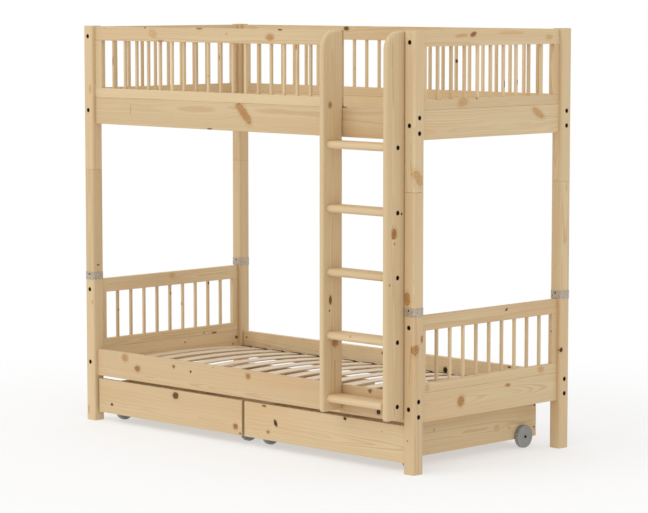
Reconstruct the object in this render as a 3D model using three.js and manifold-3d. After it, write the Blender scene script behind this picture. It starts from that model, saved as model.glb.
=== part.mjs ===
// A bunk bed of pale pine: two slatted bunks on square posts, a ladder, and two drawers on wheels.
// Millimetres, +Z up. The origin is on the floor, in the middle of the bed's box. The front looks along -Y.

import * as THREE from "three";
import { mergeVertices } from "three/addons/utils/BufferGeometryUtils.js";
import Module from "manifold-3d";

const wasm = await Module();
wasm.setup();

// Overall: the length over the collars, and the depth from the ladder's front to the back collars.
const bedLength = 2100;
const bedDepth = 1100;
const ladderReach = 100; // from the front faces of the posts to the front of the ladder
const fitGap = 0.3; // air left between two pieces that touch
const overrun = 1; // how far a cut starts outside a face, and a joined part runs into the next

// Posts. Each corner is three posts stacked: one per bunk, and a short one between them.
const postWidth = 60;
const postRounding = 10;
const postEase = 3;
const cornerSteps = 3; // on the round edges of the posts and sleeves
const bunkHeight = 664;
const middleHeight = 512;
const spigotRadius = 8;
const spigotLength = 40;
const spigotClearance = 0.2;
const spigotEndRoom = 1.3;
const spigotSides = 12;

// Sleeves round the joint between the lower and the middle posts.
const collarWall = 1.3;
const collarHeight = 36.5;
const collarLap = 2.5; // how far a sleeve comes down over the lower post

// Side and end boards, which carry the slats.
const boardThickness = 22;
const boardHeight = 123;
const boardBottom = 213; // above the foot of its own bunk's posts
const boardRounding = 3;
const boardSteps = 2; // on the round edges of the boards and rails
const ledgeDepth = 25;
const ledgeHeight = 33;

// Bolts go through the posts into the boards and panels. Their heads sit in round recesses.
const boltSeatRadius = 10;
const boltSeatDepth = 9;
const boardBoltSpread = 64; // between the two bolts of a side board
const panelBoltDrop = 45.5; // below the panel's top edge
const nutHoleRadius = 4.5;
const nutHoleDepth = 15;
const sideNutSetback = 20; // from the end of a side board to its nut hole
const endNutSetback = 34;
const holeSides = 12;

// Panels of upright bars, at both ends of each bunk and as guards on the upper one.
const panelTopGap = 3; // below the top of the posts
const topRail = 64;
const bottomRail = 41.5;
const stileWidth = 33;
const guardFirstStile = 46; // the front guard's stile beside the post
const barWidth = 12;
const endBars = 9;
const backBars = 23;
const frontBars = 18;
const guardLap = 9.5; // how far the front guard runs behind the ladder

// Bowed slats, held at their pitch by a strap along each end.
const slatWidth = 66;
const slatThickness = 6;
const slatPitch = 122;
const slatLeastGap = 20;
const slatDrop = 72; // from the top of the boards down to the ends of the slats
const slatBow = 19;
const slatEndGap = 6;
const slatSteps = 6;
const slatPostGap = 2;
const strapWidth = 14;
const strapThickness = 2;
const strapInset = 4;

// Ladder.
const ladderStile = 26;
const ladderRounding = 10;
const ladderTopRadius = 75;
const ladderFootRadius = 12;
const ladderEdgeSteps = 2;
const ladderFootSteps = 3;
const ladderTopSteps = 8;
const ladderBottom = 229;
const ladderTopGap = 2; // below the top of the posts
const ladderSideGap = 0.5; // from the right stile to the sleeve on the post
const treadLength = 341.5;
const treadDepth = 92;
const treadThickness = 32;
const treadRounding = 15.9; // all but a half round
const treadSteps = 4;
const treadInset = 21; // behind the ladder's front
const treadCount = 5;
const firstTread = 286;
const treadPitch = 268.6;
const treadSeatDepth = 7;
const hookWidth = 12;
const hookSetback = 3.3; // from the inner face of a stile
const hookThickness = 3;
const hookTongue = 30; // into the stile's back
const hookLip = 32; // down behind the board

// Drawers.
const drawerPostGap = 9.4;
const drawerMiddleGap = 17;
const drawerTopGap = 14.5; // under the side board
const drawerBackGap = 11.4; // from the back board's inner face
const drawerFrontThickness = 22;
const drawerWall = 18;
const drawerSideInset = 73.5; // from the end of the front to a side
const drawerSideDrop = 10.5; // a side's top edge below the front's
const drawerBackInset = 3;
const bottomThickness = 6;
const bottomRise = 26; // above the lower edge of the sides
const grooveDepth = 6;
const screwSeatRadius = 4;
const screwSeatDepth = 1.5;
const screwDrop = 9.3; // from the top edge of a side to its upper screw
const screwSpread = 97;

// Wheels, each on a bolt through a drawer's side.
const wheelRadius = 50;
const wheelWidth = 20;
const wheelSides = 24;
const axleRise = 8.7; // above the lower edge of the sides
const axleRadius = 4;
const axleClearance = 0.05;
const axleSides = 12;
const spacerRadius = 8;
const spacerLength = 1;
const axleHeadRadius = 6;
const axleHeadHeight = 3;
const frontAxleSetback = 82;
const backAxleSetback = 96;

// Places that follow from the sizes above.
const bedHeight = 2 * bunkHeight + middleHeight;
const collarProud = fitGap + collarWall;
const postX = bedLength / 2 - collarProud - postWidth / 2;
const frontPostY = -bedDepth / 2 + ladderReach + postWidth / 2;
const backPostY = bedDepth / 2 - collarProud - postWidth / 2;
const middleY = (frontPostY + backPostY) / 2;
const insideX = 2 * postX - postWidth;
const insideY = backPostY - frontPostY - postWidth;
const boardTop = boardBottom + boardHeight;
const boardFrontY = frontPostY - boardThickness / 2;
const panelBottom = boardTop + fitGap;
const panelHeight = bunkHeight - panelTopGap - panelBottom;
const ladderRight = insideX / 2 - collarProud - ladderSideGap;
const ladderLeft = ladderRight - treadLength - 2 * ladderStile - 2 * fitGap;

// Shapes and solids.

/** A rectangle about the origin with round corners, each a quarter circle of a few steps. */
function roundedRectangle(width, height, radius, steps) {
  const points = [];
  for (let corner = 0; corner < 4; corner += 1) {
    const start = (corner * Math.PI) / 2;
    const x = (corner === 0 || corner === 3 ? 1 : -1) * (width / 2 - radius);
    const y = (corner < 2 ? 1 : -1) * (height / 2 - radius);
    for (let step = 0; step <= steps; step += 1) {
      const angle = start + ((Math.PI / 2) * step) / steps;
      points.push(new THREE.Vector2(x + radius * Math.cos(angle), y + radius * Math.sin(angle)));
    }
  }
  return new THREE.Shape(points);
}

/** A closed geometry as a solid that can be joined and cut. */
function solid(geometry) {
  const bare = geometry.clone();
  bare.deleteAttribute("normal");
  bare.deleteAttribute("uv");
  const merged = mergeVertices(bare, 1e-4);
  return new wasm.Manifold(
    new wasm.Mesh({
      numProp: 3,
      vertProperties: merged.attributes.position.array,
      triVerts: new Uint32Array(merged.index.array),
    }),
  );
}

/** A shape drawn in X and Y, drawn out upwards between two heights. */
function alongZ(shape, low, high) {
  const geometry = new THREE.ExtrudeGeometry(shape, { depth: high - low, bevelEnabled: false });
  return solid(geometry.translate(0, 0, low));
}

/** A shape drawn in Y and Z, drawn out along X. An ease rounds both ends over, all along the outline. */
function alongX(shape, low, high, ease = 0, easeSteps = 1) {
  const options = {
    depth: high - low - 2 * ease,
    bevelEnabled: ease > 0,
    bevelThickness: ease,
    bevelSize: ease,
    bevelOffset: -ease,
    bevelSegments: easeSteps,
  };
  const geometry = new THREE.ExtrudeGeometry(shape, options).translate(0, 0, ease);
  const turn = new THREE.Matrix4().makeBasis(
    new THREE.Vector3(0, 1, 0),
    new THREE.Vector3(0, 0, 1),
    new THREE.Vector3(1, 0, 0),
  );
  return solid(geometry.applyMatrix4(turn).translate(low, 0, 0));
}

/** A box between two corners. */
function block(x0, x1, y0, y1, z0, z1) {
  const geometry = new THREE.BoxGeometry(x1 - x0, y1 - y0, z1 - z0);
  return solid(geometry.translate((x0 + x1) / 2, (y0 + y1) / 2, (z0 + z1) / 2));
}

/** A round bar between two points on a line along X, Y or Z. */
function roundBar(axis, from, length, radius, sides) {
  const geometry = new THREE.CylinderGeometry(radius, radius, Math.abs(length), sides);
  geometry.translate(0, length / 2, 0);
  if (axis === "x") geometry.rotateZ(-Math.PI / 2);
  if (axis === "z") geometry.rotateX(Math.PI / 2);
  return solid(geometry.translate(from.x, from.y, from.z));
}

/** The geometry of a solid, ready for a mesh. */
function geometryOf(body) {
  const mesh = body.getMesh();
  const geometry = new THREE.BufferGeometry();
  geometry.setAttribute("position", new THREE.BufferAttribute(mesh.vertProperties, 3));
  geometry.setIndex(new THREE.BufferAttribute(mesh.triVerts, 1));
  geometry.computeVertexNormals();
  return geometry;
}

// Materials.

const pine = () => new THREE.MeshStandardMaterial({ color: 0xd8c09a, roughness: 0.62, metalness: 0 });
const shadedPine = () => new THREE.MeshStandardMaterial({ color: 0xc9a97e, roughness: 0.66, metalness: 0 });
const birch = () => new THREE.MeshStandardMaterial({ color: 0xdcc9ab, roughness: 0.55, metalness: 0 });
const hardboard = () => new THREE.MeshStandardMaterial({ color: 0xb59a76, roughness: 0.75, metalness: 0 });
const zincSteel = () => new THREE.MeshStandardMaterial({ color: 0xa8a39a, roughness: 0.45, metalness: 0.8 });
const blackSteel = () => new THREE.MeshStandardMaterial({ color: 0x1c1a19, roughness: 0.5, metalness: 0.6 });
const greyPlastic = () => new THREE.MeshStandardMaterial({ color: 0x8d8f8c, roughness: 0.55, metalness: 0 });

/** Adds a named piece to a group, at a place in it and turned about the upright. */
function addPiece(group, name, body, material, place = [0, 0, 0], turn = 0) {
  const mesh = new THREE.Mesh(geometryOf(body), material);
  mesh.name = name;
  mesh.position.set(...place);
  mesh.rotation.z = turn;
  group.add(mesh);
}

// Pieces of a bunk.

const panelTop = panelBottom + panelHeight;
const boardMiddle = boardBottom + boardHeight / 2;
const sideBoltHeights = [boardMiddle - boardBoltSpread / 2, boardMiddle + boardBoltSpread / 2];
const endBoltHeights = [boardMiddle, panelTop - panelBoltDrop];
const corners = [
  { name: "front_left", sideX: -1, sideY: -1, y: frontPostY },
  { name: "front_right", sideX: 1, sideY: -1, y: frontPostY },
  { name: "back_left", sideX: -1, sideY: 1, y: backPostY },
  { name: "back_right", sideX: 1, sideY: 1, y: backPostY },
];

/** A square post on the origin with eased ends, and a socket on top or a spigot below where asked. */
function post(height, { socket = false, spigot = false }) {
  const section = roundedRectangle(postWidth, postWidth, postRounding, cornerSteps);
  const options = {
    depth: height - fitGap - 2 * postEase,
    bevelEnabled: true,
    bevelThickness: postEase,
    bevelSize: postEase,
    bevelOffset: -postEase,
    bevelSegments: 1,
  };
  let body = solid(new THREE.ExtrudeGeometry(section, options).translate(0, 0, postEase));
  if (socket) {
    const depth = spigotLength + spigotEndRoom - fitGap;
    const end = new THREE.Vector3(0, 0, height - fitGap - depth);
    const radius = spigotRadius + spigotClearance;
    body = body.subtract(roundBar("z", end, depth + overrun, radius, spigotSides));
  }
  if (spigot) {
    const tip = new THREE.Vector3(0, 0, -spigotLength);
    body = body.add(roundBar("z", tip, spigotLength + overrun, spigotRadius, spigotSides));
  }
  return body;
}

/** The round recesses for bolt heads in a bunk's post: in its front or back face, and in its end face. */
function withBoltSeats(body, sideX, sideY) {
  const face = postWidth / 2 + overrun;
  const depth = boltSeatDepth + overrun;
  for (const z of endBoltHeights) {
    const start = new THREE.Vector3(0, sideY * face, z);
    body = body.subtract(roundBar("y", start, -sideY * depth, boltSeatRadius, holeSides));
  }
  for (const z of sideBoltHeights) {
    const start = new THREE.Vector3(sideX * face, 0, z);
    body = body.subtract(roundBar("x", start, -sideX * depth, boltSeatRadius, holeSides));
  }
  return body;
}

/** A sleeve that a post passes through, standing on the origin. */
function collar() {
  const outer = postWidth + 2 * collarProud;
  const inner = postWidth + 2 * fitGap;
  const section = roundedRectangle(outer, outer, postRounding + collarProud, cornerSteps);
  const hole = roundedRectangle(inner, inner, postRounding + fitGap, cornerSteps);
  section.holes.push(new THREE.Path(hole.getPoints()));
  return alongZ(section, 0, collarHeight);
}

/** A board along X, its inner face towards +Y, with the holes for its nuts. A ledge for slats is optional. */
function board(length, nutHeights, nutSetback, hasLedge) {
  const outline = roundedRectangle(boardThickness, boardHeight, boardRounding, boardSteps);
  let body = alongX(outline, -length / 2, length / 2);
  const innerFace = boardThickness / 2;
  if (hasLedge) {
    const ledgeTop = boardHeight / 2 - slatDrop - slatThickness - fitGap;
    const reach = length / 2 - fitGap;
    const ledgeBack = innerFace - overrun;
    const ledgeFront = innerFace + ledgeDepth;
    body = body.add(block(-reach, reach, ledgeBack, ledgeFront, ledgeTop - ledgeHeight, ledgeTop));
  }
  for (const side of [-1, 1]) {
    for (const z of nutHeights) {
      const start = new THREE.Vector3(side * (length / 2 - nutSetback), innerFace + overrun, z);
      body = body.subtract(roundBar("y", start, -nutHoleDepth - overrun, nutHoleRadius, holeSides));
    }
  }
  return body;
}

/** A panel along X that stands on the origin: two rails, a stile at each end, and bars with equal gaps. */
function barPanel(length, firstStile, lastStile, bars) {
  const half = length / 2;
  const face = boardThickness / 2;
  const inner = { left: -half + firstStile, right: half - lastStile };
  const upperOutline = roundedRectangle(boardThickness, topRail, boardRounding, boardSteps);
  const lowerOutline = roundedRectangle(boardThickness, bottomRail, boardRounding, boardSteps);
  let body = alongX(upperOutline, -half, half).translate([0, 0, panelHeight - topRail / 2]);
  body = body.add(alongX(lowerOutline, -half, half).translate([0, 0, bottomRail / 2]));
  const stileLow = boardRounding;
  const stileHigh = panelHeight - boardRounding;
  body = body.add(block(-half, inner.left, -face, face, stileLow, stileHigh));
  body = body.add(block(inner.right, half, -face, face, stileLow, stileHigh));
  const gap = (inner.right - inner.left - bars * barWidth) / (bars + 1);
  const barHalf = barWidth / 2;
  const barLow = bottomRail - overrun;
  const barHigh = panelHeight - topRail + overrun;
  const bar = block(-barHalf, barHalf, -barHalf, barHalf, barLow, barHigh);
  for (let index = 0; index < bars; index += 1) {
    const x = inner.left + gap + barHalf + index * (gap + barWidth);
    body = body.add(bar.translate([x, 0, 0]));
  }
  return body;
}

/** The slats of a bunk and their two straps, joined. The origin is under the ends, in the middle. */
function slatBase() {
  const half = (insideY + postWidth - boardThickness) / 2 - slatEndGap;
  const height = (y) => slatBow * (1 - (y / half) ** 2);
  const points = [];
  for (let step = 0; step <= slatSteps; step += 1) {
    const y = half - (2 * half * step) / slatSteps;
    points.push(new THREE.Vector2(y, height(y) + slatThickness));
  }
  for (let step = 0; step <= slatSteps; step += 1) {
    const y = -half + (2 * half * step) / slatSteps;
    points.push(new THREE.Vector2(y, height(y)));
  }
  const slat = alongX(new THREE.Shape(points), -slatWidth / 2, slatWidth / 2);
  const lastX = insideX / 2 - slatPostGap - slatWidth / 2;
  const inner = Math.floor((lastX - slatWidth - slatLeastGap) / slatPitch);
  const places = [-lastX, lastX];
  for (let index = -inner; index <= inner; index += 1) places.push(index * slatPitch);
  const reach = lastX + slatWidth / 2 - overrun;
  const strapMiddle = half - strapInset - strapWidth / 2;
  const strapLow = height(strapMiddle) + slatThickness - strapThickness / 2;
  const strap = (side) =>
    block(
      -reach,
      reach,
      side * strapMiddle - strapWidth / 2,
      side * strapMiddle + strapWidth / 2,
      strapLow,
      strapLow + strapThickness,
    );
  let body = strap(-1).add(strap(1));
  for (const x of places) body = body.add(slat.translate([x, 0, 0]));
  return body;
}

/** Adds the boards, end panels and slats that both bunks have. */
function addBunkFrame(bunk, level) {
  const sideLength = insideX - 2 * fitGap;
  const endLength = insideY - 2 * fitGap;
  const upperNut = [boardBoltSpread / 2];
  const sideBoard = board(sideLength, upperNut, sideNutSetback, true);
  const endBoard = board(endLength, [0], endNutSetback, false);
  const panel = barPanel(endLength, stileWidth, stileWidth, endBars);
  addPiece(bunk, `${level}_front_board`, sideBoard, pine(), [0, frontPostY, boardMiddle]);
  addPiece(bunk, `${level}_back_board`, sideBoard, shadedPine(), [0, backPostY, boardMiddle], Math.PI);
  for (const end of [-1, 1]) {
    const name = end < 0 ? "left" : "right";
    const turn = (end * Math.PI) / 2;
    addPiece(bunk, `${level}_${name}_end_board`, endBoard, pine(), [end * postX, middleY, boardMiddle], turn);
    addPiece(bunk, `${level}_${name}_end_panel`, panel, pine(), [end * postX, middleY, panelBottom], turn);
  }
  const slatBottom = boardTop - slatDrop - slatThickness;
  addPiece(bunk, `${level}_slat_base`, slatBase(), birch(), [0, middleY, slatBottom]);
}

// The bed.

const bed = new THREE.Group();
bed.name = "bunk_bed";

const lowerBunk = new THREE.Group();
bed.add(lowerBunk);
const middle = new THREE.Group();
middle.position.z = bunkHeight;
bed.add(middle);
const upperBunk = new THREE.Group();
upperBunk.position.z = bunkHeight + middleHeight;
bed.add(upperBunk);

for (const { name, sideX, sideY, y } of corners) {
  const place = [sideX * postX, y, 0];
  const lowerPost = withBoltSeats(post(bunkHeight, { socket: true }), sideX, sideY);
  const upperPost = withBoltSeats(post(bunkHeight + fitGap, { spigot: true }), sideX, sideY);
  const middlePost = post(middleHeight, { socket: true, spigot: true });
  addPiece(lowerBunk, `lower_post_${name}`, lowerPost, pine(), place);
  addPiece(middle, `middle_post_${name}`, middlePost, pine(), place);
  addPiece(upperBunk, `upper_post_${name}`, upperPost, pine(), place);
  addPiece(middle, `joint_collar_${name}`, collar(), zincSteel(), [sideX * postX, y, -collarLap]);
}
addBunkFrame(lowerBunk, "lower");
addBunkFrame(upperBunk, "upper");

const guardStart = -insideX / 2 + fitGap;
const guardEnd = ladderLeft + guardLap;
const frontGuard = barPanel(guardEnd - guardStart, guardFirstStile, stileWidth, frontBars);
const backGuard = barPanel(insideX - 2 * fitGap, stileWidth, stileWidth, backBars);
const guardMiddle = (guardStart + guardEnd) / 2;
addPiece(upperBunk, "upper_front_guard", frontGuard, pine(), [guardMiddle, frontPostY, panelBottom]);
addPiece(upperBunk, "upper_back_guard", backGuard, shadedPine(), [0, backPostY, panelBottom]);

// The ladder.

const ladder = new THREE.Group();
bed.add(ladder);
const ladderFront = -bedDepth / 2;
const ladderBack = boardFrontY - fitGap;
const ladderTop = bedHeight - ladderTopGap;
const treadMiddleY = ladderFront + treadInset + treadDepth / 2;
const treadHeights = Array.from({ length: treadCount }, (_, index) => firstTread + index * treadPitch);
const upperBoardTop = bunkHeight + middleHeight + boardTop;

/** The side view of a stile: a large round at the top front, and small ones at the other corners. */
function stileOutline() {
  const arc = (y, z, radius, from, steps) =>
    Array.from({ length: steps + 1 }, (_, step) => {
      const angle = from + (Math.PI / 2) * (step / steps);
      return new THREE.Vector2(y + radius * Math.cos(angle), z + radius * Math.sin(angle));
    });
  const foot = ladderFootRadius;
  const big = ladderTopRadius;
  return new THREE.Shape([
    ...arc(ladderBack - foot, ladderBottom + foot, foot, -Math.PI / 2, ladderFootSteps),
    ...arc(ladderBack - foot, ladderTop - foot, foot, 0, ladderFootSteps),
    ...arc(ladderFront + big, ladderTop - big, big, Math.PI / 2, ladderTopSteps),
    ...arc(ladderFront + foot, ladderBottom + foot, foot, Math.PI, ladderFootSteps),
  ]);
}

/** The strip that hangs a stile on the upper board: a tongue in the stile, and a lip behind the board. */
function hookBody(low, high) {
  const lipBack = frontPostY + boardThickness / 2 + fitGap + hookThickness;
  const top = upperBoardTop + fitGap + hookThickness;
  const strip = block(low, high, ladderBack - hookTongue, lipBack, top - hookThickness, top);
  const lip = block(low, high, lipBack - hookThickness, lipBack, upperBoardTop - hookLip, top);
  return strip.add(lip);
}

for (const side of [-1, 1]) {
  const name = side < 0 ? "left" : "right";
  const low = side < 0 ? ladderLeft : ladderRight - ladderStile;
  const high = low + ladderStile;
  const outerFace = side < 0 ? low : high;
  const innerFace = side < 0 ? high : low;
  const hookLow = side < 0 ? innerFace - hookSetback - hookWidth : innerFace + hookSetback;
  const hookHigh = hookLow + hookWidth;
  let stile = alongX(stileOutline(), low, high, ladderRounding, ladderEdgeSteps);
  for (const z of treadHeights) {
    const start = new THREE.Vector3(outerFace + side * overrun, treadMiddleY, z);
    const depth = treadSeatDepth + overrun;
    stile = stile.subtract(roundBar("x", start, -side * depth, boltSeatRadius, holeSides));
  }
  const slotFront = ladderBack - hookTongue - fitGap;
  const slotTop = upperBoardTop + hookThickness + 2 * fitGap;
  const [slotLow, slotHigh] = [hookLow - fitGap, hookHigh + fitGap];
  stile = stile.subtract(block(slotLow, slotHigh, slotFront, ladderBack + overrun, upperBoardTop, slotTop));
  addPiece(ladder, `ladder_stile_${name}`, stile, pine());
  addPiece(ladder, `ladder_hook_${name}`, hookBody(hookLow, hookHigh), blackSteel());
}

const treadOutline = roundedRectangle(treadDepth, treadThickness, treadRounding, treadSteps);
const treadStart = ladderLeft + ladderStile + fitGap;
const tread = alongX(treadOutline, treadStart, treadStart + treadLength);
treadHeights.forEach((z, index) => {
  addPiece(ladder, `ladder_tread_${index + 1}`, tread, pine(), [0, treadMiddleY, z]);
});

// The drawers.

const sideBottom = wheelRadius - axleRise;
const frontHeight = boardBottom - drawerTopGap - sideBottom;
const sideHeight = frontHeight - drawerSideDrop;
const frontWidth = (insideX - 2 * drawerPostGap - drawerMiddleGap) / 2;
const backPlane = backPostY - boardThickness / 2 - drawerBackGap;
const sideStart = boardFrontY + drawerFrontThickness + fitGap; // just behind the drawer front
const sideLength = backPlane - sideStart;
const sideOuterX = frontWidth / 2 - drawerSideInset;
const sideInnerX = sideOuterX - drawerWall;
const axleYs = { front: sideStart + frontAxleSetback, back: backPlane - backAxleSetback };
const bottomLow = sideBottom + bottomRise;
const bottomHigh = bottomLow + bottomThickness;
const grooveLow = bottomLow - fitGap;
const grooveHigh = bottomHigh + fitGap;

/** The front of a drawer, with the groove for the bottom in its inner face. */
function drawerFront() {
  const outline = roundedRectangle(drawerFrontThickness, frontHeight, boardRounding, boardSteps);
  const middleOfFront = boardFrontY + drawerFrontThickness / 2;
  const face = boardFrontY + drawerFrontThickness;
  const body = alongX(outline, -frontWidth / 2, frontWidth / 2);
  return body
    .translate([0, middleOfFront, sideBottom + frontHeight / 2])
    .subtract(block(-sideInnerX, sideInnerX, face - grooveDepth, face + overrun, grooveLow, grooveHigh));
}

/** One side of a drawer, with its two axle bolts, its groove and the seats of the screws into the back. */
function drawerSide(side) {
  const outer = side * sideOuterX;
  const inner = side * sideInnerX;
  const [low, high] = side < 0 ? [outer, inner] : [inner, outer];
  let body = block(low, high, sideStart, backPlane, sideBottom, sideBottom + sideHeight);
  for (const y of Object.values(axleYs)) {
    const at = (offset) => new THREE.Vector3(outer + side * offset, y, wheelRadius);
    const headStart = spacerLength + wheelWidth + 2 * fitGap;
    body = body
      .add(roundBar("x", at(-overrun), side * (spacerLength + overrun), spacerRadius, axleSides))
      .add(roundBar("x", at(-overrun), side * (headStart + 2 * overrun), axleRadius, axleSides))
      .add(roundBar("x", at(headStart), side * axleHeadHeight, axleHeadRadius, axleSides));
  }
  const grooveWall = inner + side * grooveDepth;
  const [grooveStart, grooveEnd] = side < 0 ? [grooveWall, inner + overrun] : [inner - overrun, grooveWall];
  const cutStart = sideStart - overrun;
  const cutEnd = backPlane + overrun;
  body = body.subtract(block(grooveStart, grooveEnd, cutStart, cutEnd, grooveLow, grooveHigh));
  const screwY = backPlane - drawerBackInset - drawerWall / 2;
  for (const drop of [screwDrop, screwDrop + screwSpread]) {
    const z = sideBottom + sideHeight - drop;
    const start = new THREE.Vector3(outer + side * overrun, screwY, z);
    const depth = screwSeatDepth + overrun;
    body = body.subtract(roundBar("x", start, -side * depth, screwSeatRadius, holeSides));
  }
  return body;
}

/** The back of a drawer, between its sides. */
function drawerBack() {
  const reach = sideInnerX - fitGap;
  const back = backPlane - drawerBackInset;
  const front = back - drawerWall;
  const cutReach = reach + overrun;
  const body = block(-reach, reach, front, back, sideBottom, sideBottom + sideHeight);
  const cutEnd = front + grooveDepth;
  return body.subtract(block(-cutReach, cutReach, front - overrun, cutEnd, grooveLow, grooveHigh));
}

/** The thin bottom of a drawer, held in the grooves. */
function drawerBottom() {
  const reach = sideInnerX + grooveDepth - fitGap;
  const front = boardFrontY + drawerFrontThickness - grooveDepth + fitGap;
  const back = backPlane - drawerBackInset - drawerWall + grooveDepth - fitGap;
  const narrow = sideInnerX - fitGap;
  const withinSides = block(-reach, reach, sideStart + fitGap, back, bottomLow, bottomHigh);
  return withinSides.add(block(-narrow, narrow, front, sideStart + overrun, bottomLow, bottomHigh));
}

/** A wheel about the X axis: a plain disc with a bore that turns on the axle. */
function wheel() {
  const half = wheelWidth / 2;
  const bore = (axleRadius + axleClearance) / Math.cos(Math.PI / wheelSides);
  const profile = [
    [bore, -half],
    [wheelRadius, -half],
    [wheelRadius, half],
    [bore, half],
    [bore, -half],
  ];
  const points = profile.map(([radius, along]) => new THREE.Vector2(radius, along));
  return solid(new THREE.LatheGeometry(points, wheelSides).rotateZ(-Math.PI / 2));
}

for (const side of [-1, 1]) {
  const drawer = new THREE.Group();
  drawer.position.x = (side * (frontWidth + drawerMiddleGap)) / 2;
  bed.add(drawer);
  const name = side < 0 ? "drawer_left" : "drawer_right";
  addPiece(drawer, `${name}_front`, drawerFront(), pine());
  addPiece(drawer, `${name}_back`, drawerBack(), shadedPine());
  addPiece(drawer, `${name}_bottom`, drawerBottom(), hardboard());
  for (const wall of [-1, 1]) {
    const wallName = wall < 0 ? "left" : "right";
    addPiece(drawer, `${name}_side_${wallName}`, drawerSide(wall), shadedPine());
    const wheelX = wall * (sideOuterX + spacerLength + fitGap + wheelWidth / 2);
    for (const [end, y] of Object.entries(axleYs)) {
      addPiece(drawer, `${name}_wheel_${end}_${wallName}`, wheel(), greyPlastic(), [wheelX, y, wheelRadius]);
    }
  }
}

export default bed;
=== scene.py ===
# %% [markdown]
# # A bunk bed of pale pine, with drawers on wheels
# The bed is sawn and planed softwood, screwed together from straight sticks: posts, boards, rails, bars and
# treads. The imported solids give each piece's size and place, and this lesson builds the finished look round
# them. Nearly everything is wood, so most of the work is one good way to make a stick, and one good wood.

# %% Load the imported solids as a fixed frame
import math

import bpy
import numpy as np
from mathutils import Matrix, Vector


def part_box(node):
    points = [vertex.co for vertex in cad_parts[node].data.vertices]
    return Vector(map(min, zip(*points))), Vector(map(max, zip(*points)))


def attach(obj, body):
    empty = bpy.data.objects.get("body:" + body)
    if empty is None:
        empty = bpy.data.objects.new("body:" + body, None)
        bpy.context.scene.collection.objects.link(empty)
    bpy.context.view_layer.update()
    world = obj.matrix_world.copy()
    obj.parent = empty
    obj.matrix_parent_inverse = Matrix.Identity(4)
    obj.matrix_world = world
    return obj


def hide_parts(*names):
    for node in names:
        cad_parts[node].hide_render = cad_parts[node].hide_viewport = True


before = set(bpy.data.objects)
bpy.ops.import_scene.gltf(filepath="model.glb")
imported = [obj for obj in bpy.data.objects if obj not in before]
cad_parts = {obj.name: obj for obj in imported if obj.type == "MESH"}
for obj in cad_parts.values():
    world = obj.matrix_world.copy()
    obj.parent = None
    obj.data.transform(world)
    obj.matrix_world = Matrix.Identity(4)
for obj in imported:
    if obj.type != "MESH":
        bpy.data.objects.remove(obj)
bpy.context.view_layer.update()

SEED = 20
rng = np.random.default_rng(SEED)

# %% [markdown]
# ## Straight sticks
# A planed stick is a rounded rectangle carried along a line, with its ends eased by hand or by a cutter. It could
# be a cube with a Bevel modifier. A grid of points is better here, because each point can then carry the place
# in the tree that it was sawn from, and the bolt holes can be let into its sides.

# %% The outline of a stick
EDGE = 0.0004  # a narrow band beside each round edge, so that its shading doesn't spread over the flat
QUARTER_TURNS = [(1, 0), (0, 1), (-1, 0), (0, -1)]  # the cosine and sine for each side in turn


def outline(width, height, radius, steps, splits):
    """A rounded rectangle run round once: each point, the way out from it, its side, and its place on the side.

    A side is a flat at half the width from the middle, then a quarter circle. The four sides are one shape,
    turned by a quarter each time. splits gives places on a side's flat that need a point of their own.
    """
    angles = np.linspace(0, np.pi / 2, steps + 1)[1:-1]
    found = []
    for side in range(4):
        reach, half = (width / 2, height / 2) if side % 2 == 0 else (height / 2, width / 2)
        flat = half - radius
        bands = [-flat, -flat + EDGE, flat - EDGE, flat] if flat > 2 * EDGE else [-flat, flat]
        t = np.unique(np.round(np.concatenate([bands, splits.get(side, [])]), 7))
        x = np.concatenate([np.full(len(t), reach), reach - radius + radius * np.cos(angles)])
        y = np.concatenate([t, flat + radius * np.sin(angles)])
        out_x = np.concatenate([np.ones(len(t)), np.cos(angles)])
        out_y = np.concatenate([np.zeros(len(t)), np.sin(angles)])
        c, s = QUARTER_TURNS[side]
        kind = np.concatenate([np.full(len(t), side), np.full(len(angles), -1)])
        place = np.concatenate([t, angles])
        found.append([x * c - y * s, x * s + y * c, out_x * c - out_y * s, out_x * s + out_y * c, kind, place])
    return np.concatenate(found, axis=1)


print("a square post's outline has", outline(0.06, 0.06, 0.01, 6, {}).shape[1], "points")

# %% The faces of a grid, and a round hole in one of them
HOLE_POINTS = 24
QUARTER = HOLE_POINTS // 4
HOLE_MARGIN = 0.003  # from a hole to the sides of the square that it is let into
ROW_MARGIN = 0.001  # from that square to the next row


def drawn_in(ring, inset):
    """The outline drawn in by each inset in turn: the rows of x, and the rows of y."""
    return [ring[k][None] - inset[:, None] * ring[k + 2][None] for k in (0, 1)]


def net(rows, columns, loop=False):
    """The faces between rows of points, each a closed ring. In a loop the last row is joined to the first."""
    i, j = np.meshgrid(np.arange(rows if loop else rows - 1), np.arange(columns), indexing="ij")
    after, beside = (i + 1) % rows * columns, (j + 1) % columns
    return np.stack([i * columns + j, i * columns + beside, after + beside, after + j], axis=-1)


def circle(s, t, radius):
    """A ring of points: s + radius cos(turn), t + radius sin(turn)."""
    turn = np.arange(HOLE_POINTS) * 2 * np.pi / HOLE_POINTS
    return s + radius * np.cos(turn), t + radius * np.sin(turn)


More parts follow.
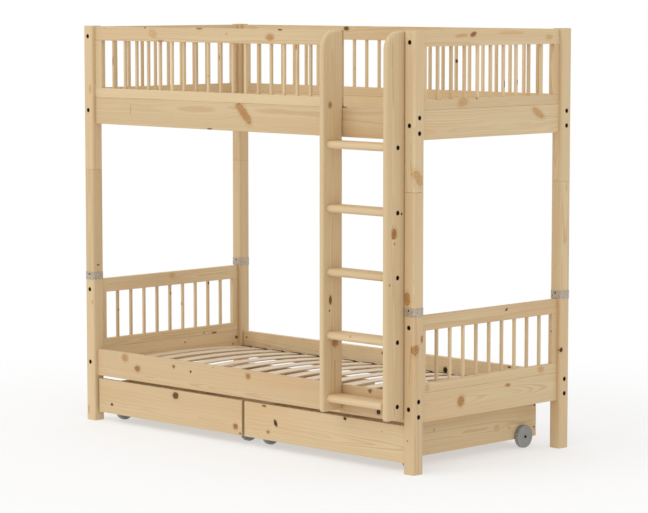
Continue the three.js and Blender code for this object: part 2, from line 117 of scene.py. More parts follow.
def bored(points, end, square, rings, upside_down=False):
    """A hole in the place of a square of the grid: the points and end values with its own added, and its faces.

    rings holds the circle at the face and the circle at the floor. Four faces run from the square to the first.
    """
    first = len(points)
    m, after = first + np.arange(HOLE_POINTS), first + (np.arange(HOLE_POINTS) + 1) % HOLE_POINTS
    faces = []
    for q in range(4):
        arc = [first + (QUARTER // 2 - (q + 1) * QUARTER + k) % HOLE_POINTS for k in range(QUARTER + 1)]
        faces.append([int(square[q]), int(square[(q + 1) % 4]), *arc])
    faces += np.stack([after, m, m + HOLE_POINTS, after + HOLE_POINTS], axis=-1).tolist()
    faces.append(list(range(first + HOLE_POINTS, first + 2 * HOLE_POINTS))[::-1])
    # the hole's rim ring takes end 0.3 and its floor 1, which the pine finish darkens: painted shade in the hole
    end = np.concatenate([end, np.full(HOLE_POINTS, 0.3), np.ones(HOLE_POINTS)])
    return np.concatenate([points, *rings]), end, [face[::-1] for face in faces] if upside_down else faces


print("a tube of 3 rings of 8 has", net(3, 8).reshape(-1, 4).shape[0], "faces")

# %% A stick with eased ends and bolt holes
def stick(length, width, height, radius, ease=0.001, steps=4, holes=(), spacing=0.0, marks=()):
    """A stick from 0 to its length along s, with a and b across it.

    Its ring at s is the outline, drawn in by ease - sqrt(ease^2 - (ease - s)^2) near an end. Each hole is
    (side, s, t, radius, depth): a square of the grid is left out, and a circle, a wall and a floor take its place.
    """
    splits, stops = {}, [length - ease - EDGE, ease + EDGE]
    for side, s, t, hole, _ in holes:
        cell = hole + HOLE_MARGIN
        splits.setdefault(side, []).extend([t - cell, t + cell])
        stops.extend([s - cell, s + cell])
    ring = outline(width, height, radius, steps, splits)
    bend = ease * (1 - np.cos(np.linspace(0, np.pi / 2, 4)))
    between = np.arange(spacing, length - spacing / 2, spacing) if spacing else np.zeros(0)
    between = np.concatenate([between, marks])
    for _, s, _, hole, _ in holes:
        between = between[np.abs(between - s) > hole + HOLE_MARGIN + ROW_MARGIN]
    stations = np.unique(np.round(np.concatenate([bend, length - bend, stops, between]), 7))
    inward = np.clip(1 - np.minimum(stations, length - stations) / ease, 0, 1)
    inset = ease * (1 - np.sqrt(1 - inward**2))
    a, b = drawn_in(ring, inset)
    points = np.stack([np.broadcast_to(stations[:, None], a.shape), a, b], axis=-1).reshape(-1, 3)
    rows, columns = a.shape
    quads = net(rows, columns)
    keep = np.ones(quads.shape[:2], bool)
    polygons = [list(range(columns))[::-1], list(range((rows - 1) * columns, rows * columns))]
    end = np.zeros(len(points))
    end[:columns] = end[-columns:] = 1
    for side, s, t, hole, depth in holes:
        row = int(np.argmin(np.abs(stations - (s - hole - HOLE_MARGIN))))
        column = int(np.argmin(np.where(ring[4] == side, np.abs(ring[5] - (t - hole - HOLE_MARGIN)), np.inf)))
        keep[row, column] = False
        reach = (width if side % 2 == 0 else height) / 2
        along, up = circle(s, t, hole)
        c, k = QUARTER_TURNS[side]
        rings = [np.stack([along, out * c - up * k, out * k + up * c], axis=-1) for out in (reach, reach - depth)]
        points, end, faces = bored(points, end, quads[row, column][[2, 3, 0, 1]], rings)
        polygons += faces
    return {"points": points, "faces": quads[keep].tolist() + polygons, "end": end}


trial = stick(0.664, 0.06, 0.06, 0.01, 0.003, holes=[(0, 0.3, 0.0, 0.0075, 0.009)])
print("a trial post has", len(trial["points"]), "points and", len(trial["faces"]), "faces")

# %% [markdown]
# ## Where a stick was in the tree
# Planed pine shows its rings as long lines where the saw ran beside the pith, and as flames where it cut across
# them. A flat picture of wood can't turn a corner from the face to the end grain. Here each point keeps its place
# in the log instead, as an attribute, and the finish works out the rings from that, so that every face agrees.
#
# Knots are branches that the saw cut through. Each point also keeps its way from the nearest knot, so the grain
# can flow round it. A knot is written as (place along, place across, radius, darkness, stretch), and then a slant
# and a side where it needs them.

# %% Knots, and the place in the log
BOTH, RIGHT, TOP, LEFT, BOTTOM = -1, 0, 1, 2, 3
KNOT_REST = (0.0, BOTH)  # the slant and side of a knot that doesn't give them
WRONG_SIDE = 100.0  # metres, so that a knot on another side is never the nearest
KNOT_REACH = 7  # radii along the stick that its grain is bent over, and
LEAST_REACH = 0.05  # metres at the least


def knot_fields(points, knots):
    """For each point: the way from its nearest knot in the knot's own turned axes, and (radius, darkness, stretch).

    Nearest is measured along the stick. Past a knot's reach its radius is 0.
    """
    if not knots:
        return np.full((len(points), 3), 9.0), np.tile([0.0, 0.0, 1.0], (len(points), 1))
    table = np.array([(*knot, *KNOT_REST[len(knot) - 5:]) for knot in knots], float)
    place, offset, radius, darkness, stretch, slant, side = table.T
    s, a, b = points.T
    facing = np.stack([a, b, -a, -b])
    eligible = np.array([np.ones(len(s), bool) if k < 0 else facing[k] > 0 for k in side.astype(int)])
    along = s[None] - place[:, None]
    level = (side == RIGHT) | (side == LEFT)
    across = np.where(level[:, None], b[None], a[None]) - offset[:, None]
    far = np.abs(along) + np.where(eligible, 0, WRONG_SIDE)
    nearest = np.argmin(far, axis=0)
    pick = (nearest, np.arange(len(s)))
    c, k = np.cos(slant[nearest]), np.sin(slant[nearest])
    x = along[pick] * c + across[pick] * k
    y = across[pick] * c - along[pick] * k
    is_level = level[nearest]
    way = np.stack([x, np.where(is_level, 0, y), np.where(is_level, y, 0)], axis=-1)
    reach = np.maximum(KNOT_REACH * radius[nearest] * stretch[nearest], LEAST_REACH)
    inside = far[pick] < reach
    return way, np.stack([radius[nearest] * inside, darkness[nearest], stretch[nearest]], axis=-1)


END_CLEAR = 0.04  # metres of each end without small knots
KNOT_CLEAR = 0.07  # and beside another knot


def scattered(length, width, given, each):
    """The knots given, and about one small one each so many metres, kept clear of those and of the ends."""
    knots = list(given)
    for place in rng.uniform(END_CLEAR, max(length - END_CLEAR, 0.05), rng.poisson(length / each)):
        across = rng.uniform(-0.42, 0.42) * width
        size, dark, side = rng.uniform(0.002, 0.005), rng.uniform(0.02, 0.45), int(rng.integers(0, 4))
        clear = all(abs(place - other[0]) > KNOT_CLEAR + 3 * other[2] * other[4] for other in knots)
        if clear and place < length - 0.03:
            knots.append((place, across, size, dark, rng.uniform(1.0, 1.5), 0.0, side))
    return knots


print("a knot bends the grain over", KNOT_REACH, "radii, and", LEAST_REACH, "m at the least")

# %% A stick of wood
AXES = {"x": (1, 0, 0), "y": (0, 1, 0), "z": (0, 0, 1), "-x": (-1, 0, 0)}
KNOT_STEP = 0.03  # between the rows of a stick that has knots
HALFWAY = 0.0003


def halfway(knots, length):
    """Pairs of rows a hair's breadth apart, halfway between every two knots, where one gives way to the other."""
    places = np.array([knot[0] for knot in knots])
    middles = ((places[:, None] + places[None]) / 2)[np.triu_indices(len(places), 1)]
    middles = np.concatenate([middles - HALFWAY, middles + HALFWAY])
    return middles[(middles > 0.01) & (middles < length - 0.01)]


def in_log(points, pith, tilt):
    """Where a point (s, a, b) was in the log: (s + a start, a + pith + tilt s, b + pith + tilt s)."""
    s, start = points[:, 0], rng.uniform(0, 40)
    return np.stack([s + start, points[:, 1] + pith[0] + tilt[0] * s, points[:, 2] + pith[1] + tilt[1] * s], axis=-1)


def wood(
    origin, along, across, length, width, height, knots=(), each=0.5, tone=None, bend=None, log=True, spacing=0.0,
    pith_at=None, **shape,
):
    """A stick as a part of a piece: its points in the bed's frame, and its place in the log.

    A point is origin + s times along + a times across + b times their cross product. The log's pith runs
    beside the stick, a little out of line with it, which is what draws flames on a flat face.
    """
    thick = max(width, height)
    found = scattered(length, thick, knots, each) if each else list(knots)
    spacing = KNOT_STEP if found else spacing
    part = stick(length, width, height, spacing=spacing, marks=halfway(found, length), **shape)
    points = part["points"]
    part["knot"], part["knot_kind"] = knot_fields(points, found)
    angle = rng.uniform(0, 2 * np.pi)
    if thick > 2.5 * min(width, height):
        wide = np.pi / 2 if height < width else 0.0
        angle = wide + rng.choice([0, np.pi]) + rng.uniform(-0.7, 0.7)
    pith = rng.uniform(0.02, 0.09) * np.array([np.cos(angle), np.sin(angle)])
    tilt = rng.normal(0, 0.007, 2)
    if not log:
        pith, tilt = np.array([rng.uniform(0, 9), 0]), tilt * 0
    if pith_at:
        pith, tilt = np.array(pith_at[:2]), np.array(pith_at[2:])
    part["grain"] = in_log(points, pith, tilt)
    own_tone = rng.normal(0, 0.45 if thick > 0.02 else 0.9)
    # a given tone replaces the random one; some are set high to lighten pieces that stand in shade, as painted light
    part["tone"] = np.full(len(points), own_tone if tone is None else tone)
    u, v = np.array(AXES[along], float), np.array(AXES[across], float)
    local = points if bend is None else bend(points)
    part["points"] = np.array(origin, float) + local @ np.stack([u, v, np.cross(u, v)])
    return part


def filled(node, along, across, knots=(), thick=None, **settings):
    """A stick that fills a solid's box: it starts at the low end of its length, in the middle of the rest."""
    low, high = np.array(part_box(node), float)
    s, a = "xyz".index(along), "xyz".index(across)
    start, size = (low + high) / 2, high - low
    start[s] = low[s]
    return wood(start, along, across, size[s], size[a], thick or size[3 - s - a], knots, **settings)


print("a stick with knots has a row every", KNOT_STEP, "m")


# %% [markdown]
# ## From parts to a piece
# A panel's rails, stiles and bars are glued, and leave the workshop as one piece. So a piece is a list of parts
# put into one mesh. Attributes go on the points. Sharp edges are marked by their angle, and all else is smooth.

# %% Put parts into one mesh
SHARP = math.radians(38)
POINT_VALUES = ("grain", "knot", "knot_kind", "tone", "end")
made = {}


def piece(name, parts, finish, body, nodes=()):
    """A mesh object of all the parts, which rides on a body and stands for the nodes."""
    offsets = np.cumsum([0] + [len(part["points"]) for part in parts])
    points = np.concatenate([part["points"] for part in parts])
    faces = [[int(v) + int(o) for v in face] for part, o in zip(parts, offsets) for face in part["faces"]]
    mesh = bpy.data.meshes.new(name)
    mesh.from_pydata(points.tolist(), [], faces)
    for label in POINT_VALUES:
        if label in parts[0]:
            values = np.concatenate([part[label] for part in parts]).astype(np.float32)
            way, key = ("FLOAT_VECTOR", "vector") if values.ndim > 1 else ("FLOAT", "value")
            mesh.attributes.new(label, way, "POINT").data.foreach_set(key, values.ravel())
    mesh.polygons.foreach_set("use_smooth", [True] * len(mesh.polygons))
    mesh.set_sharp_from_angle(angle=SHARP)
    mesh.materials.append(finish)
    mesh.validate()
    obj = bpy.data.objects.new(name, mesh)
    bpy.context.scene.collection.objects.link(obj)
    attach(obj, body)
    if nodes:
        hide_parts(*nodes)
    made[name] = sum(len(face) - 2 for face in faces)
    return obj


# %% [markdown]
# ## Writing a finish as sums
# A shader is arithmetic on values that change over the surface. Drawn by hand it is a web of boxes. Here a small
# class stands for one output, and Python's own signs add the Math nodes, so that a formula reads as a formula.

# %% A class for shader values
class Value:
    """One output of a node. Sums, differences, products and quotients of it add Math nodes."""

    def __init__(self, shader, socket):
        self.shader, self.socket = shader, socket

    def math(self, operation, *others, first=None):
        values = [self if first is None else first, *others]
        return self.shader.node("ShaderNodeMath", {"operation": operation}, dict(enumerate(values)))

    def __add__(self, other):
        return self.math("ADD", other)

    __radd__ = __add__

    def __sub__(self, other):
        return self.math("SUBTRACT", other)

    def __rsub__(self, other):
        return self.math("SUBTRACT", self, first=other)

    def __mul__(self, other):
        return self.math("MULTIPLY", other)

    __rmul__ = __mul__

    def __truediv__(self, other):
        return self.math("DIVIDE", other)

    def __rtruediv__(self, other):
        return self.math("DIVIDE", self, first=other)

    def ramp(self, low, high):
        """0 up to low, 1 from high, and a smooth rise between."""
        inputs = {"Value": self, "From Min": low, "From Max": high}
        return self.shader.node("ShaderNodeMapRange", {"interpolation_type": "SMOOTHSTEP"}, inputs)


# %% Colours, and a class for a tree of nodes
def rgb(red, green, blue):
    """A colour as written for a screen, 0 to 255, turned to the linear light that shaders count in."""
    c = np.array([red, green, blue]) / 255
    linear = np.where(c <= 0.04045, c / 12.92, ((c + 0.055) / 1.055) ** 2.4)
    return (*linear.tolist(), 1.0)


class Tree:
    """The nodes of a material or of the world, and one method that adds any of them."""

    def __init__(self, tree):
        self.nodes, self.links = tree.nodes, tree.links

    def node(self, kind, settings=None, inputs=None, output=0):
        """Adds a node. Its settings are set first, then each socket gets a value or a link."""
        node = self.nodes.new(kind)
        for name, value in (settings or {}).items():
            if name == "stops":
                elements = node.color_ramp.elements
                elements[0].position, elements[1].position = value[0][0], value[-1][0]
                for place, _ in value[1:-1]:
                    elements.new(place)
                for element, (_, color) in zip(elements, value):
                    element.color = color
            else:
                setattr(node, name, value)
        for name, value in (inputs or {}).items():
            if isinstance(value, Value):
                self.links.new(value.socket, node.inputs[name])
            else:
                node.inputs[name].default_value = value
        return Value(self, node.outputs[output])

    def attribute(self, name, output="Vector"):
        return self.node("ShaderNodeAttribute", {"attribute_name": name}, output=output)

    def split(self, vector):
        """The three parts of a vector."""
        node = self.node("ShaderNodeSeparateXYZ", inputs={"Vector": vector}).socket.node
        return [Value(self, output) for output in node.outputs]

    def vector(self, x, y, z):
        return self.node("ShaderNodeCombineXYZ", inputs={"X": x, "Y": y, "Z": z})

    def noise(self, vector, scale=1.0, detail=2.0, roughness=0.5):
        inputs = {"Vector": vector, "Scale": scale, "Detail": detail, "Roughness": roughness}
        return self.node("ShaderNodeTexNoise", {"normalize": True}, inputs)

    def mix(self, factor, first, second, blend="MIX"):
        """A colour between two, or one multiplied by the other."""
        settings = {"data_type": "RGBA", "blend_type": blend, "clamp_factor": True}
        return self.node("ShaderNodeMix", settings, {0: factor, 6: first, 7: second}, output=2)

    def grey(self, value):
        """A number as a colour, for the Mix nodes."""
        return self.node("ShaderNodeCombineColor", inputs={"Red": value, "Green": value, "Blue": value})

    def stops(self, factor, colors):
        """A colour that goes through the colours given, each at its own place from 0 to 1."""
        return self.node("ShaderNodeValToRGB", {"stops": colors}, {"Fac": factor})

    def plainly_seen(self):
        """1 for what the camera sees, straight or in a shiny surface or through glass, and 0 for light."""
        rays = self.node("ShaderNodeLightPath").socket.node.outputs
        camera, glossy, through = [Value(self, rays[f"Is {kind} Ray"]) for kind in ("Camera", "Glossy", "Transmission")]
        return (camera + glossy + through).math("MINIMUM", 1.0)


# %% A class for one material
class Shader(Tree):
    """A material with a Principled BSDF."""

    def __init__(self, name, color, roughness, metallic=0.0, gloss=0.5):
        self.material = bpy.data.materials.new(name)
        self.material.use_nodes = True
        super().__init__(self.material.node_tree)
        self.surface = self.nodes["Principled BSDF"]
        plain = {"Base Color": color, "Roughness": roughness, "Metallic": metallic, "Specular IOR Level": gloss}
        for socket, value in plain.items():
            self.surface.inputs[socket].default_value = value
        self.material.diffuse_color = color

    def done(self, color, roughness, height, distance, strength):
        """Links what was worked out into the surface, and returns the material."""
        bump = self.node("ShaderNodeBump", inputs={"Height": height, "Distance": distance, "Strength": strength})
        for socket, value in (("Base Color", color), ("Roughness", roughness), ("Normal", bump)):
            self.links.new(value.socket, self.surface.inputs[socket])
        print(self.material.name, "has", len(self.nodes), "nodes")
        return self.material


# %% [markdown]
# ## Planed pine
# Pine is pale, with rings a few millimetres apart. Each ring begins pale and soft in spring and ends in a thin
# brown line. Lacquer leaves a quiet sheen. It could be a stretched noise, but that has no rings and no ends. This
# finish measures each point's distance from the pith, adds the slow waver of a real trunk, and counts rings.
#
# Round a knot the fibres part and close again, as water does round a post in a stream. The formula for that is
# known: the line that a drop follows keeps y (1 - r^2 / d^2), so the grain is read at that shifted place.

# %% The pine finish
SPRING_WOOD = rgb(219, 195, 155)
SUMMER_WOOD = rgb(192, 156, 108)
HEART_WOOD = rgb(213, 174, 129)
PALE_WOOD = rgb(226, 207, 173)
LACQUER = 0.25  # how much the surface shines, where 0.5 is glass
RING_GAP = 0.0036  # metres of growth in a year
CONTRAST = 0.55
KNOT_HALO = rgb(205, 166, 112)
KNOT_BODY = [
    (0.0, rgb(208, 168, 114)), (0.3, rgb(202, 154, 98)), (0.5, rgb(182, 130, 74)), (0.7, rgb(136, 99, 55)),
    (0.85, rgb(88, 62, 37)), (1.0, rgb(34, 26, 20)),
]
KNOT_RIM = [
    (0.0, rgb(188, 142, 86)), (0.3, rgb(160, 112, 60)), (0.5, rgb(126, 84, 42)), (0.7, rgb(76, 54, 31)),
    (0.85, rgb(36, 25, 18)), (1.0, rgb(16, 12, 10)),
]


def pine_finish(name):
    m = Shader(name, SPRING_WOOD, 0.5, gloss=LACQUER)
    place = m.attribute("grain")
    along, a, b = m.split(place)
    way = m.attribute("knot")
    radius, darkness, stretch = m.split(m.attribute("knot_kind"))
    tone = m.attribute("tone", "Fac")
    end = m.attribute("end", "Fac")

    x, ya, yb = m.split(way)
    size = radius.math("MAXIMUM", 0.00005)
    ragged = (m.noise(place, 120.0, 2.0) - 0.5) * 0.8
    x_share, a_share, b_share = x / (size * stretch), ya / size, yb / size
    long_way = x_share * x_share
    long_way = long_way * (1 + stretch.ramp(2.5, 3.5) * (long_way - 1))
    apart = (long_way + a_share * a_share + b_share * b_share).math("SQRT") + ragged
    parting = 1 / (apart * apart).math("MAXIMUM", 1.0)

    slow = m.noise(m.vector(along * 1.6, a * 11, b * 11), 1.0, 2.0) - 0.5
    quick = m.noise(m.vector(along * 9, a * 55, b * 55), 1.0, 2.0) - 0.5
    a_moved, b_moved = a - ya * parting, b - yb * parting
    from_pith = (a_moved * a_moved + b_moved * b_moved).math("SQRT") + slow * 0.016 + quick * 0.0016
    rings = from_pith / RING_GAP
    years = m.noise(m.vector(rings * 0.43, 3.1, 0.7), 1.0, 1.0)
    phase = (rings + years * 1.6).math("FRACT")
    late = phase.ramp(0.35, 0.86) * (1 - phase.ramp(0.9, 1.0))
    late_amount = late * (years.ramp(0.25, 0.7) * 0.65 + 0.35) * CONTRAST

    fibre = m.noise(m.vector(along * 22, a * 700, b * 700), 1.0, 3.0, 0.65)
    streak = m.noise(m.vector(along * 2.2, a * 90, b * 90), 1.0, 2.0)
    patch = m.noise(m.vector(along * 0.9, a * 7, b * 7), 1.0, 2.0)
    color = m.mix(late_amount, SPRING_WOOD, SUMMER_WOOD)
    # a higher tone is paler and lighter; where it is set high on pieces in shade, that is painted light
    color = m.mix(patch.ramp(0.45, 0.75) * 0.45 + tone * -0.12, color, HEART_WOOD)
    color = m.mix((1 - patch.ramp(0.2, 0.42)) * 0.5 + tone * 0.12, color, PALE_WOOD)
    light = 1 + (fibre - 0.5) * 0.10 + (streak - 0.5) * 0.10 + tone * 0.05
    # darker where end is high: end grain at a stick's ends, and painted shade on the walls and floors of bored holes
    light = light * (1 - end * 0.2)

    plain = 0.4 + darkness.ramp(0.0, 0.35) * 0.58
    echoes = ((apart * 19).math("SINE") * 0.5 + 0.5) * apart.ramp(0.98, 1.15) * (1 - apart.ramp(1.3, 2.1))
    ring_marks = (apart * 15).math("SINE") * 0.5 + 0.5
    spots = m.noise(place, 480.0, 2.0).ramp(0.46, 0.64)
    halo = (1 - apart.ramp(0.95, 1.8)) * 0.5
    body = 1 - apart.ramp(0.93, 1.06)
    core = 1 - apart.ramp(0.1, 0.7)
    rim = apart.ramp(0.74, 0.95) * body
    color = m.mix(halo * plain, color, KNOT_HALO)
    color = m.mix(body * plain, color, m.stops(darkness, KNOT_BODY))
    inner = rim * 0.65 + (ring_marks * 0.2 + spots * 0.25 + core * 0.35) * body
    color = m.mix(inner * plain, color, m.stops(darkness, KNOT_RIM))
    light = light * (1 - echoes * plain * 0.13)
    color = m.mix(1.0, color, m.grey(light), "MULTIPLY")
    rough = 0.56 - late_amount * 0.1 + (fibre - 0.5) * 0.14 - body * 0.12 + end * 0.15
    height = late_amount * 0.35 + fibre * 0.5 + body * 0.3 - rim * darkness * 0.6
    return m.done(color, rough, height, distance=0.00025, strength=0.35)


pine = pine_finish("planed_pine")


def planed(node, parts, body="bed"):
    """A piece of pine that stands for the solid of the same name."""
    return piece(node + "_planed", parts, pine, body, [node])


print("rings are", round(RING_GAP * 1000, 1), "mm apart")

# %% [markdown]
# ## The posts
# Each corner is three posts on top of one another, 60 mm square with well rounded edges. The bolts for the boards
# go in through the posts, and their black heads sit just below the wood in round holes.

# %% Posts
POST = 0.060
POST_ROUND = 0.010
FEET = {"lower": 0.0, "middle": 0.664, "upper": 1.176}  # how high each level begins
POST_EASE = 0.0025
TIGHT_EASE = 0.0012  # at the other three corners, where the photograph shows no seam
SPIGOT = 0.040
BOLT_HOLE = 0.010
BOLT_DEPTH = 0.009
SIDE_BOLTS = (0.2425, 0.3065)  # heights above the foot of the bunk, through the post into a side board
END_BOLTS = (0.2745, 0.6155)  # the same, into an end board and an end panel
CORNERS = [("front_left", -1, -1), ("front_right", 1, -1), ("back_left", -1, 1), ("back_right", 1, 1)]

post_knots = {
    "lower_post_front_left": [
        (0.557, 0.018, 0.004, 0.2, 2.5, 0.0, BOTTOM), (0.05, -0.013, 0.006, 0.1, 3.5, 0.0, BOTTOM),
    ],
    "middle_post_front_left": [
        (0.066, -0.003, 0.0026, 0.85, 3.2, 1.5, RIGHT), (0.111, -0.026, 0.0035, 0.45, 1.5, 0.0, BOTTOM),
    ],
    "upper_post_front_left": [(0.373, 0.014, 0.006, 0.15, 3.0, 0.0, BOTTOM)],
    "lower_post_front_right": [
        (0.525, -0.018, 0.0145, 0.4, 1.5, 0.0, RIGHT), (0.567, 0.020, 0.008, 0.55, 1.7, 0.0, RIGHT),
        (0.143, -0.005, 0.003, 0.8, 1.0, 0.0, BOTTOM),
    ],
    "middle_post_front_right": [(0.070, -0.010, 0.0165, 0.4, 1.6, 0.0, BOTTOM)],
    "upper_post_front_right": [(0.060, -0.006, 0.018, 0.18, 1.8, -0.6, RIGHT)],
    "lower_post_back_right": [(0.437, -0.022, 0.0075, 0.85, 1.4, 0.0, RIGHT)],
}
# the lower front-left post is set paler to stand in for light on its shaded inner face: painted light; the other two
# are set lighter and darker
post_tones_and_painted_light = {"upper_post_front_left": 0.7, "lower_post_front_left": 0.6, "lower_post_front_right": -0.6}
bolt_places = []
for level, foot in FEET.items():
    for corner, side_x, side_y in CORNERS:
        node = f"{level}_post_{corner}"
        low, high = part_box(node)
        x, y = (low.x + high.x) / 2, (low.y + high.y) / 2
        base = low.z + (0 if level == "lower" else SPIGOT)
        end_side, front_side = (RIGHT if side_x > 0 else LEFT), (TOP if side_y > 0 else BOTTOM)
        bolts = [(end_side, h, (side_x, 0, 0)) for h in SIDE_BOLTS]
        bolts += [(front_side, h, (0, side_y, 0)) for h in END_BOLTS]
        holes = []
        if level != "middle":
            holes = [(side, h + foot - base, 0.0, BOLT_HOLE, BOLT_DEPTH) for side, h, _ in bolts]
            bolt_places += [
                ((x + out[0] * POST / 2, y + out[1] * POST / 2, foot + h), out) for _, h, out in bolts
            ]
        part = wood(
            (x, y, base), "z", "x", high.z - base, POST, POST, post_knots.get(node, ()), each=0.9, steps=7,
            radius=POST_ROUND, ease=POST_EASE if corner == "front_right" else TIGHT_EASE, holes=holes,
            tone=post_tones_and_painted_light.get(node),
        )
        planed(node, [part])
print(len(bolt_places), "bolt heads to come; a post has", made["lower_post_front_left_planed"], "triangles")

# %% [markdown]
# ## Side and end boards
# The boards between the posts carry the slats. The long ones have a ledge glued inside, and dark holes near their
# ends, where a round nut was dropped in for each bolt.

# %% Boards
BOARD = 0.022
BOARD_ROUND = 0.0015
LEDGE_DROP = 0.0783
LEDGE = (0.025, 0.033)  # depth and height
NUT_HOLE = 0.0045
NUT_DEPTH = 0.015
SIDE_NUT = (0.020, 0.032)  # from the end of a long board, and above its middle
END_NUT = 0.034  # from the end of an end board
LEDGE_GAP = 0.0003  # from a ledge's end to the post

board_knots = {
    "lower_front_board": [
        (0.195, 0.0385, 0.016, 0.25, 1.15), (0.282, -0.003, 0.013, 0.5, 1.35),
        (0.531, 0.031, 0.0075, 0.6, 1.1), (0.645, 0.019, 0.005, 1.0, 1.2),
        (0.794, 0.055, 0.002, 0.9, 1.45), (1.021, 0.038, 0.0115, 0.42, 1.25),
        (1.767, 0.051, 0.008, 0.6, 1.3), (1.817, -0.033, 0.0105, 0.95, 1.1),
    ],
    "lower_back_board": [
        (0.947, 0.042, 0.006, 0.8, 1.5), (1.341, 0.002, 0.0135, 1.0, 1.0),
        (1.726, 0.054, 0.005, 0.7, 1.6),
    ],
    "upper_front_board": [
        (0.247, 0.010, 0.0028, 0.15, 8.5, 1.5), (0.998, 0.018, 0.018, 0.33, 3.2, 2.38),
        (0.779, -0.058, 0.003, 0.75, 5.0),
    ],
    "upper_right_end_board": [(0.738, 0.028, 0.014, 0.2, 2.6, -0.5)],
    "lower_right_end_board": [
        (0.252, 0.0035, 0.0185, 0.4, 1.15, 1.2), (0.552, 0.040, 0.006, 0.45, 2.5),
    ],
    "lower_left_end_board": [(0.526, 0.038, 0.003, 0.8, 1.8), (0.866, 0.032, 0.0065, 0.7, 1.5)],
}
flamed = {"lower_right_end_board": (-0.015, 0.024, 0.010, 0.022)}  # the pith's place and lean, where flames show
nut_places = []
for level in ("lower", "upper"):
    for name, sign in (("front", -1), ("back", 1)):
        node = f"{level}_{name}_board"
        low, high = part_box(node)
        length, width, middle = high.x - low.x, high.z - low.z, (low.z + high.z) / 2
        outer = low.y if sign < 0 else high.y
        y = outer - sign * BOARD / 2
        inner_side, nut_ends = (BOTTOM if sign < 0 else TOP), (SIDE_NUT[0], length - SIDE_NUT[0])
        # the back boards, seen from inside in shade, are set paler and lighter: painted light
        board = wood(
            (low.x, y, middle), "x", "z", length, width, BOARD, board_knots.get(node, ()), each=0.7,
            radius=BOARD_ROUND, tone=-1.1 if sign < 0 else 1.6,
            holes=[(inner_side, s, -sign * SIDE_NUT[1], NUT_HOLE, NUT_DEPTH) for s in nut_ends],
        )
        ledge_y = y - sign * (BOARD / 2 + LEDGE[0] / 2)
        ledge_z = high.z - LEDGE_DROP - LEDGE[1] / 2
        ledge = wood(
            (low.x + LEDGE_GAP, ledge_y, ledge_z), "x", "z", length - 2 * LEDGE_GAP, LEDGE[1], LEDGE[0],
            radius=0.0012, ease=0.0006,
        )
        planed(node, [board, ledge])
        height = middle + SIDE_NUT[1]
        nut_places += [((low.x + s, outer - sign * BOARD, height), (0, -sign, 0)) for s in nut_ends]
    for name, sign in (("left", -1), ("right", 1)):
        node = f"{level}_{name}_end_board"
        low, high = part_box(node)
        x, middle = (low.x + high.x) / 2, (low.z + high.z) / 2
        inner_side, nut_ends = (TOP if sign < 0 else BOTTOM), (END_NUT, high.y - low.y - END_NUT)
        # the left end boards, seen from inside in shade, are set paler and lighter: painted light
        board = filled(
            node, "y", "z", board_knots.get(node, ()), BOARD, each=0.9, radius=BOARD_ROUND,
            pith_at=flamed.get(node), tone=1.2 if sign < 0 else None,
            holes=[(inner_side, s, 0.0, NUT_HOLE, NUT_DEPTH) for s in nut_ends],
        )
        planed(node, [board])
        nut_places += [((x - sign * BOARD / 2, low.y + s, middle), (-sign, 0, 0)) for s in nut_ends]
print(len(nut_places), "nuts to come")

# %% [markdown]
# ## Panels of upright bars
# The end panels and guards are glued frames: two rails that run right through, a stile at each end between them,
# and slim bars with softened edges. Every bar is its own stick of wood, so each has its own tone.

# %% Panels and guards
TOP_RAIL = 0.064
LOW_RAIL = 0.0415
STILE = 0.033
BAR = 0.012
BAR_SHAPE = {"radius": 0.001, "ease": 0.0005, "steps": 2}
TUCK = 0.004  # how far a bar goes into a rail

rail_knots = {
    "upper_front_guard": (
        [(0.404, 0.002, 0.016, 0.05, 1.9, -0.3), (0.454, -0.036, 0.011, 0.4, 1.9),
         (0.712, 0.034, 0.008, 0.7, 2.4), (1.165, -0.004, 0.0135, 0.3, 1.6),
         (1.227, 0.031, 0.0045, 0.95, 2.8), (0.350, 0.031, 0.004, 0.7, 1.6)],
        [],
    ),
    "upper_back_guard": ([(0.706, 0.020, 0.010, 0.72, 1.6)], []),
    "upper_right_end_panel": (
        [(0.319, 0.0160, 0.0095, 0.62, 1.8, 0.35), (0.245, 0.0105, 0.006, 0.12, 6.0, 0.06),
         (0.560, 0.019, 0.006, 0.0, 12.0), (0.807, -0.002, 0.010, 0.1, 2.0)],
        [(0.256, 0.006, 0.0165, 0.15, 1.7, 0.3), (0.341, 0.019, 0.0035, 0.7, 1.6)],
    ),
    "lower_right_end_panel": (
        [(0.540, 0.013, 0.0045, 0.9, 1.9, 0.5)],
        [(0.041, -0.001, 0.013, 0.1, 0.9), (0.770, 0.003, 0.0125, 0.15, 1.4)],
    ),
    "lower_left_end_panel": (
        [(0.445, 0.013, 0.0115, 0.1, 1.4)],
        [(0.717, -0.015, 0.0045, 0.58, 3.5), (0.65, -0.01, 0.003, 0.5, 2.0)],
    ),
}
bar_knots = {  # the few dark flecks, by panel and bar
    ("upper_back_guard", 16): [(0.136, 0.004, 0.0032, 0.9, 2.6)],
    ("upper_right_end_panel", 5): [(0.057, 0.005, 0.0036, 0.95, 4.0)],
    ("upper_right_end_panel", 6): [(0.064, 0.005, 0.0036, 1.0, 3.0)],
    ("upper_front_guard", 0): [(0.130, 0.0, 0.0028, 0.5, 7.0)],
    ("upper_front_guard", 9): [(0.159, -0.004, 0.0028, 0.6, 3.7)],
    ("upper_front_guard", 15): [(0.213, -0.002, 0.0028, 0.6, 4.5)],
    ("lower_left_end_panel", 0): [(0.132, 0.0, 0.0032, 0.7, 1.8)],
    ("lower_left_end_panel", 4): [(0.184, 0.0, 0.0032, 0.75, 1.8)],
    ("lower_left_end_panel", 7): [(0.214, 0.0, 0.0036, 1.0, 1.8)],
}


